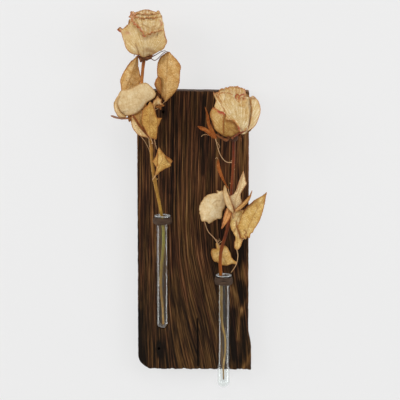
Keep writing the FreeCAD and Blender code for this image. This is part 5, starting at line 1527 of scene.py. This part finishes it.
# Each stem, in mm: the points it runs through, its radius at each height, its nodes (height, swelling),
# its knobs (height, turn round the stem, size), where it glints (from, to, how much) and its colours.

stems = {
    "left": {
        "points": [(-38.6, -33, -266), (-39.9, -32.4, -239), (-42, -32.4, -212), (-40.4, -32.4, -184),
            (-38.2, -32.6, -158), (-38.8, -32.8, -137), (-41, -33.6, -119), (-44.6, -34.6, -100),
            (-48.3, -35.6, -81), (-51.8, -36.6, -59), (-53.4, -37.6, -36), (-56.2, -38.6, -10),
            (-61, -39.8, 18), (-65, -41, 46), (-64.2, -41.6, 64), (-61.9, -41.8, 84.5)],
        "radius": [(-266, 1.15), (-235, 1.55), (-200, 2), (-160, 2), (-119, 1.9), (-100, 2), (-78, 2.35),
            (-50, 2.1), (0, 2.1), (60, 2), (85, 2.3)],
        "nodes": [(-75, 0.55), (-36, 0.6), (-4, 0.5), (20, 0.5), (-186, 0.3)],
        "knobs": [(-75, 0.3, 1.9), (-63, 2.2, 1.3)], "glints": [(-262, -236, 0.25)],
        "stops": [(0, "#a0732b"), (0.16, "#906a22"), (0.34, "#87802a"), (0.44, "#b88a38"), (0.58, "#bd8a3e"),
            (0.8, "#cc8c3e"), (0.9, "#cc8640"), (0.965, "#b4692e"), (1, "#54290f")],
        "material": "driedStemOchre",
    },
    "right": {
        "points": [(39.6, -33, -340), (39.4, -32.8, -322), (41.6, -32.6, -304), (41.4, -32.6, -284),
            (37.4, -32.6, -264), (36.3, -32.8, -244), (36.2, -33, -222), (35.8, -33.4, -202),
            (34.9, -34.4, -184), (36.2, -35.6, -168), (40.6, -37.2, -151), (45.4, -39, -134),
            (48.5, -41, -115), (48.8, -43.2, -95), (50, -45.6, -73), (51.6, -48, -48), (51.6, -50.7, -18.5)],
        "radius": [(-340, 0.9), (-318, 1.15), (-290, 1.1), (-268, 1.35), (-256, 2), (-200, 2.2), (-160, 2.1),
            (-110, 2), (-60, 1.8), (-20, 2)],
        "nodes": [(-164, 0.5), (-135, 0.6), (-110, 0.6), (-95, 0.5), (-50, 0.4), (-256, 0.35)],
        "knobs": [(-78, 2.6, 1.7), (-60, 0.4, 1.2)], "glints": [(-332, -300, 0.3), (-236, -214, 0.2)],
        "stops": [(0, "#93703a"), (0.2, "#b08a3f"), (0.27, "#7a5c1a"), (0.4, "#7c5c1a"), (0.46, "#a85612"),
            (0.54, "#8e4411"), (0.6, "#743212"), (0.66, "#94481a"), (0.72, "#7c341a"), (0.85, "#94481e"),
            (0.94, "#7c3418"), (1, "#48200e")],
        "material": "driedStemRusset",
    },
}

stemHabit = {"along": 190, "around": 16, "nodeReach": 2.6, "uneven": 0.05, "rough": 0.08, "gloss": 0.5}

for side, stem in stems.items():
    path = smoothPath(stem["points"], stemHabit["along"])
    low, high = path[0, 2], path[-1, 2]
    radii, tones = [], []
    for x, y, z in path:
        r = readOff(stem["radius"], z)
        for place, swell in stem["nodes"]:
            r += swell * math.exp(-(((z - place) / stemHabit["nodeReach"]) ** 2))
        radii.append(r * (1 + stemHabit["uneven"] * ripple(z / 9, 3.3)))
        # painted highlight: in each glint span the bark's colour is lightened
        glint = max([g for a, b, g in stem["glints"] if a < z < b] + [0.0])
        tones.append(glint * max(0.0, ripple(z / 4, 6.1) + 0.4))
    shape = newShape()
    values = {"height": path[:, 2].tolist(), "tone": tones}
    addTube(shape, path, radii, stemHabit["around"], values, stemHabit["rough"], 2.0)
    for place, around, size in stem["knobs"]:
        i = int(np.argmin(abs(path[:, 2] - place)))
        out = Vector((math.cos(around), -math.sin(around) * 0.8, 0.25)).normalized()
        reaches = (radii[i] * 0.6, radii[i] + size * 0.5, radii[i] + size)
        thorn = [Vector(path[i]) + out * reach for reach in reaches]
        addTube(shape, thorn, [1.1, 0.6, 0.1], 8, {"height": [float(place)] * 3, "tone": [0.1, 0.3, 0.5]})
    bark = driedStem(stem["material"], stem["stops"], low, high, stemHabit["gloss"])
    node = side + "_rose_stem"
    addPiece(node + "_dried", node, shape, bark, side + "_rose")

# Stalks: radii in mm at the stem and at the leaf, the tendrils, and the dry threads beside the stems, which
# are points in the picture with a depth in mm. A tone lightens the colour.

stalks = {
    "radius": (0.58, 0.38),
    "tendrils": {
        "left": [
            seenLine([
                (149, 58, -44), (153, 56.4, -45), (157, 54.2, -46), (161, 51.8, -46), (165.4, 50.6, -43.5),
            ]),
            seenLine([
                (146, 60, -43), (151, 58.8, -44), (154.2, 60.4, -45), (157.2, 59.2, -46), (160.4, 56, -46),
                (163.6, 53, -45), (166.4, 51.6, -43), (169, 52.4, -41.5),
            ]),
        ],
        "right": [[(55.2, -46.8, -161), (57.6, -45, -172), (55.4, -42.5, -185), (49, -40, -196)]],
    },
    "threads": {
        "left": [
            [(140.6, 136.2, -39), (144.6, 141, -39), (148.6, 148.6, -38.5), (149.6, 152, -38)],
            [(154.4, 139.4, -44), (155.4, 144, -45), (156.6, 149.4, -46.5)],
            [(147.2, 137.6, -41), (149.4, 139, -40), (151.6, 140, -39)],
        ],
        "right": [
            [(201.2, 136.6, -50), (202.8, 135.2, -51), (206, 134.6, -52), (210.4, 135.6, -52.6)],
            [(216.8, 142, -53), (219.6, 146.4, -54), (218, 149, -53.6)],
            [(215.6, 158.6, -38), (217.2, 157.6, -38.4), (218.2, 160.4, -39)],
            [(231, 160.6, -49), (233.2, 161.6, -48.5), (235, 164.4, -47.5)],
            [(216.4, 239.4, -35), (218, 241.6, -35), (219.6, 240.2, -35.4), (220.8, 241.4, -35)],
            [(217, 243.6, -34), (218.6, 241, -35), (219.4, 238.6, -35)],
        ],
    },
}

stalkShape = {
    "along": 26,
    "around": 9,
    "flare": (0.5, 2.2),     # share that the foot is thicker by, and how many steps it reaches
    "rough": 0.12,
    "tone": 0.25,
    "tendrilTone": {"left": 0.0, "right": 0.25},
}
threadShape = {"along": 18, "around": 7, "radius": (0.38, 0.2)}

# thin dried stalks: straw, reddish where they thicken, matt
stalkStops = [(0.0, "#d09868"), (0.5, "#dcab80"), (0.88, "#c48c58"), (0.93, "#7a3c26"), (1.0, "#6a3020")]
stalkTissue = driedStem("driedStalk", stalkStops, -200.0, 100.0, 0.6)


def addStalk(shape, route, habit, radii, tone):
    path = smoothPath(route, habit["along"])
    values = {"height": path[:, 2].tolist(), "tone": [tone] * habit["along"]}
    addTube(shape, path, radii, habit["around"], values, stalkShape["rough"], 5.0)


amount, reach = stalkShape["flare"]
steps = np.arange(stalkShape["along"])
stalkRadii = np.linspace(*stalks["radius"], stalkShape["along"])
stalkRadii = stalkRadii * (1 + amount * np.exp(-((steps / reach) ** 2)))
threadRadii = np.linspace(*threadShape["radius"], threadShape["along"])
for side in ("left", "right"):
    shape = newShape()
    mine = [name for name in leaves if name.startswith(side) and leaves[name]["stalk"]]
    routes = [leaves[name]["stalk"] + [leafBases[name]] for name in mine]
    if side == "right":
        fork = [(51.6, -47.6, -50.0), (42.3, -50.5, -49.0), (35.0, -52.5, -40.0), (30.8, -54.0, -27.5)]
        routes.append(fork + [leafBases["right_leaf_curled_long"]])
        routes.append([(30.2, -54.4, -24.0), leafBases["right_leaf_curled_short"]])
    for route in routes:
        addStalk(shape, route, stalkShape, stalkRadii, stalkShape["tone"])
    for route in stalks["tendrils"][side]:
        addStalk(shape, route, stalkShape, stalkRadii, stalkShape["tendrilTone"][side])
    for thread in stalks["threads"][side]:
        addStalk(shape, seenLine(thread), threadShape, threadRadii, stalkShape["tone"])
    node = side + "_rose_petioles"
    addPiece(node + "_dried", node, shape, stalkTissue, side + "_rose")

hipHabit = {
    "outline": [(0.62, -1), (0.97, -0.5), (1, 0.1), (0.75, 0.55), (0.4, 1)],     # radius and height as shares
    "radius": 5.2,
    "reach": 6.0,            # mm that it stands above and below the bloom's root
    "ridges": 5,
    "along": 22,
    "around": 40,
}
# the dried hip: dark at its foot and browner above, matt
hipTissue = driedStem("driedHip", [(0.0, "#4a2a1a"), (0.5, "#6d4526"), (1.0, "#8a5f35")], -30.0, 100.0, 0.6)

# Sepals: drawn ones in front, like blades, and seeded ones behind, each an azimuth and a length in mm.

sepals = {
    "left": [{
        "outline": [(140.5, 55.2), (142.8, 57), (142.2, 60.6), (140.7, 62.4), (139.3, 59.8), (138.4, 57)],
        "rib": [(141.4, 56.4, -47), (140.6, 59, -48.5), (140.6, 61.8, -47)], "tone": -0.5,
    }, {
        "outline": [(145.2, 56.2), (149.5, 54.6), (153, 55.2), (151.6, 58), (148.6, 59.8), (146.2, 60.8),
            (144.6, 58.6)],
        "rib": [(145.6, 57.6, -48), (149, 57.4, -49.5), (152.2, 56, -48)], "tone": -0.5,
    }],
    "right": [{
        "outline": [(215.4, 134), (218.2, 134.4), (222, 136.8), (225.6, 138), (229.6, 137.6), (228.8, 139.8),
            (226, 141.8), (223, 139.9), (219.2, 138)],
        "rib": [(229, 138.4, -58), (224.6, 139.4, -61), (220, 136.6, -60), (216.2, 134.4, -58)], "tone": 0.1,
        "brown": [(1, 0.6, (223, 138.6), (228, 138.8))],
    }, {
        "outline": [(229.6, 137.2), (232.4, 136.6), (235, 134.6), (237, 133.9), (238.6, 131.6),
            (241.2, 131.4), (243, 129), (244.8, 130.2), (247.4, 129.6), (245.4, 131.8), (243, 132.2),
            (241.6, 133.8), (238.8, 134.2), (236.6, 136.2), (234, 136.9), (233, 139.4), (231.4, 138.8)],
        "rib": [(232, 138.6, -60), (237, 134.4, -66), (242, 131.4, -66), (247, 129.8, -62)], "tone": -0.1,
        "red": [(0.8, 0.5, (233, 138), (239, 133.6), (245, 130.6))],
    }],
    "behind": [(40, 15), (110, 13), (180, 16), (250, 13), (320, 12)],
}

sepalHabit = {
    "front": {"cup": (1.5, 1.5), "length": 14, "wavy": 1.2},
    "grid": (22, 7),
    "droop": (-40, 120),     # degrees at the root, and how much more at the tip
    "half": 2.1,             # mm, half the width
    "thick": 0.3,
}


def addHip(shape, directions):
    base, axis, across, front = directions
    sides = hipHabit["around"]
    points, heights = [], []
    for share, rise in smoothPath(hipHabit["outline"], hipHabit["along"]):
        lift = rise * hipHabit["reach"]
        for k in range(sides):
            angle = 2 * math.pi * k / sides
            uneven = 0.06 * math.cos(angle * hipHabit["ridges"]) + 0.05 * ripple(k / 4, lift / 3, 8.8)
            r = share * hipHabit["radius"] * (1 + uneven)
            out = front * math.cos(angle) + across * math.sin(angle)
            points.append(tuple(base + axis * lift + out * r))
            heights.append(base.z + lift)
    ends = [tuple(range(sides))[::-1], tuple(range(len(points) - sides, len(points)))]
    faces = gridFaces(hipHabit["along"], sides, True) + ends
    grow(shape, points, faces, {"height": heights, "tone": [0.0] * len(points)})


def addBackSepal(shape, directions, azimuth, length, number):
    # a narrow sepal that rises from the hip, turns over and hangs
    base, axis, across, front = directions
    angle = math.radians(azimuth)
    out = front * math.cos(angle) + across * math.sin(angle)
    around = axis.cross(out)
    rows, columns = sepalHabit["grid"]
    start, turn = sepalHabit["droop"]
    spot = base + out * (hipHabit["radius"] * 0.8) + axis * 1.0
    points, edges = [], []
    for i in range(rows):
        t = i / (rows - 1)
        droop = math.radians(start + turn * t + 20 * ripple(t * 2, number, 1.1))
        if i:
            spot = spot + (out * math.cos(droop) - axis * math.sin(droop)) * (length / rows)
        half = sepalHabit["half"] * math.sin(math.pi * min(1, 0.25 + 0.75 * t)) + 0.15
        for share in (2 * j / (columns - 1) - 1 for j in range(columns)):
            lift = axis * (0.7 * share * share + 0.4 * ripple(t * 5, share * 2, number))
            points.append(tuple(spot + around * (half * share) + lift))
            edges.append(half * (1 - abs(share)) * 1.5)
    plain = [0.0] * len(points)
    tones = [0.3 + 0.25 * ripple(k * 0.21, number) for k in range(len(points))]
    values = {"edge": edges, "vein": plain, "tone": tones, "brown": plain, "red": plain}
    grow(shape, points, gridFaces(rows, columns), values)


for side, bloom in blooms.items():
    rose = side + "_rose"
    directions = bloomFrame(bloom)
    shape = newShape()
    addHip(shape, directions)
    addPiece(rose + "_hip_dried", rose + "_hip", shape, hipTissue, rose)
    shape = newShape()
    for number, sepal in enumerate(sepals[side]):
        addLeafBlade(shape, {**sepalHabit["front"], **sepal}, 31 + number)
    for number, (azimuth, length) in enumerate(sepals["behind"]):
        addBackSepal(shape, directions, azimuth, length, number)
    node = rose + "_sepals"
    addPiece(node + "_dried", node, shape, dried["sepal"], rose, sepalHabit["thick"])
print("stems, stalks, hips and sepals ready")
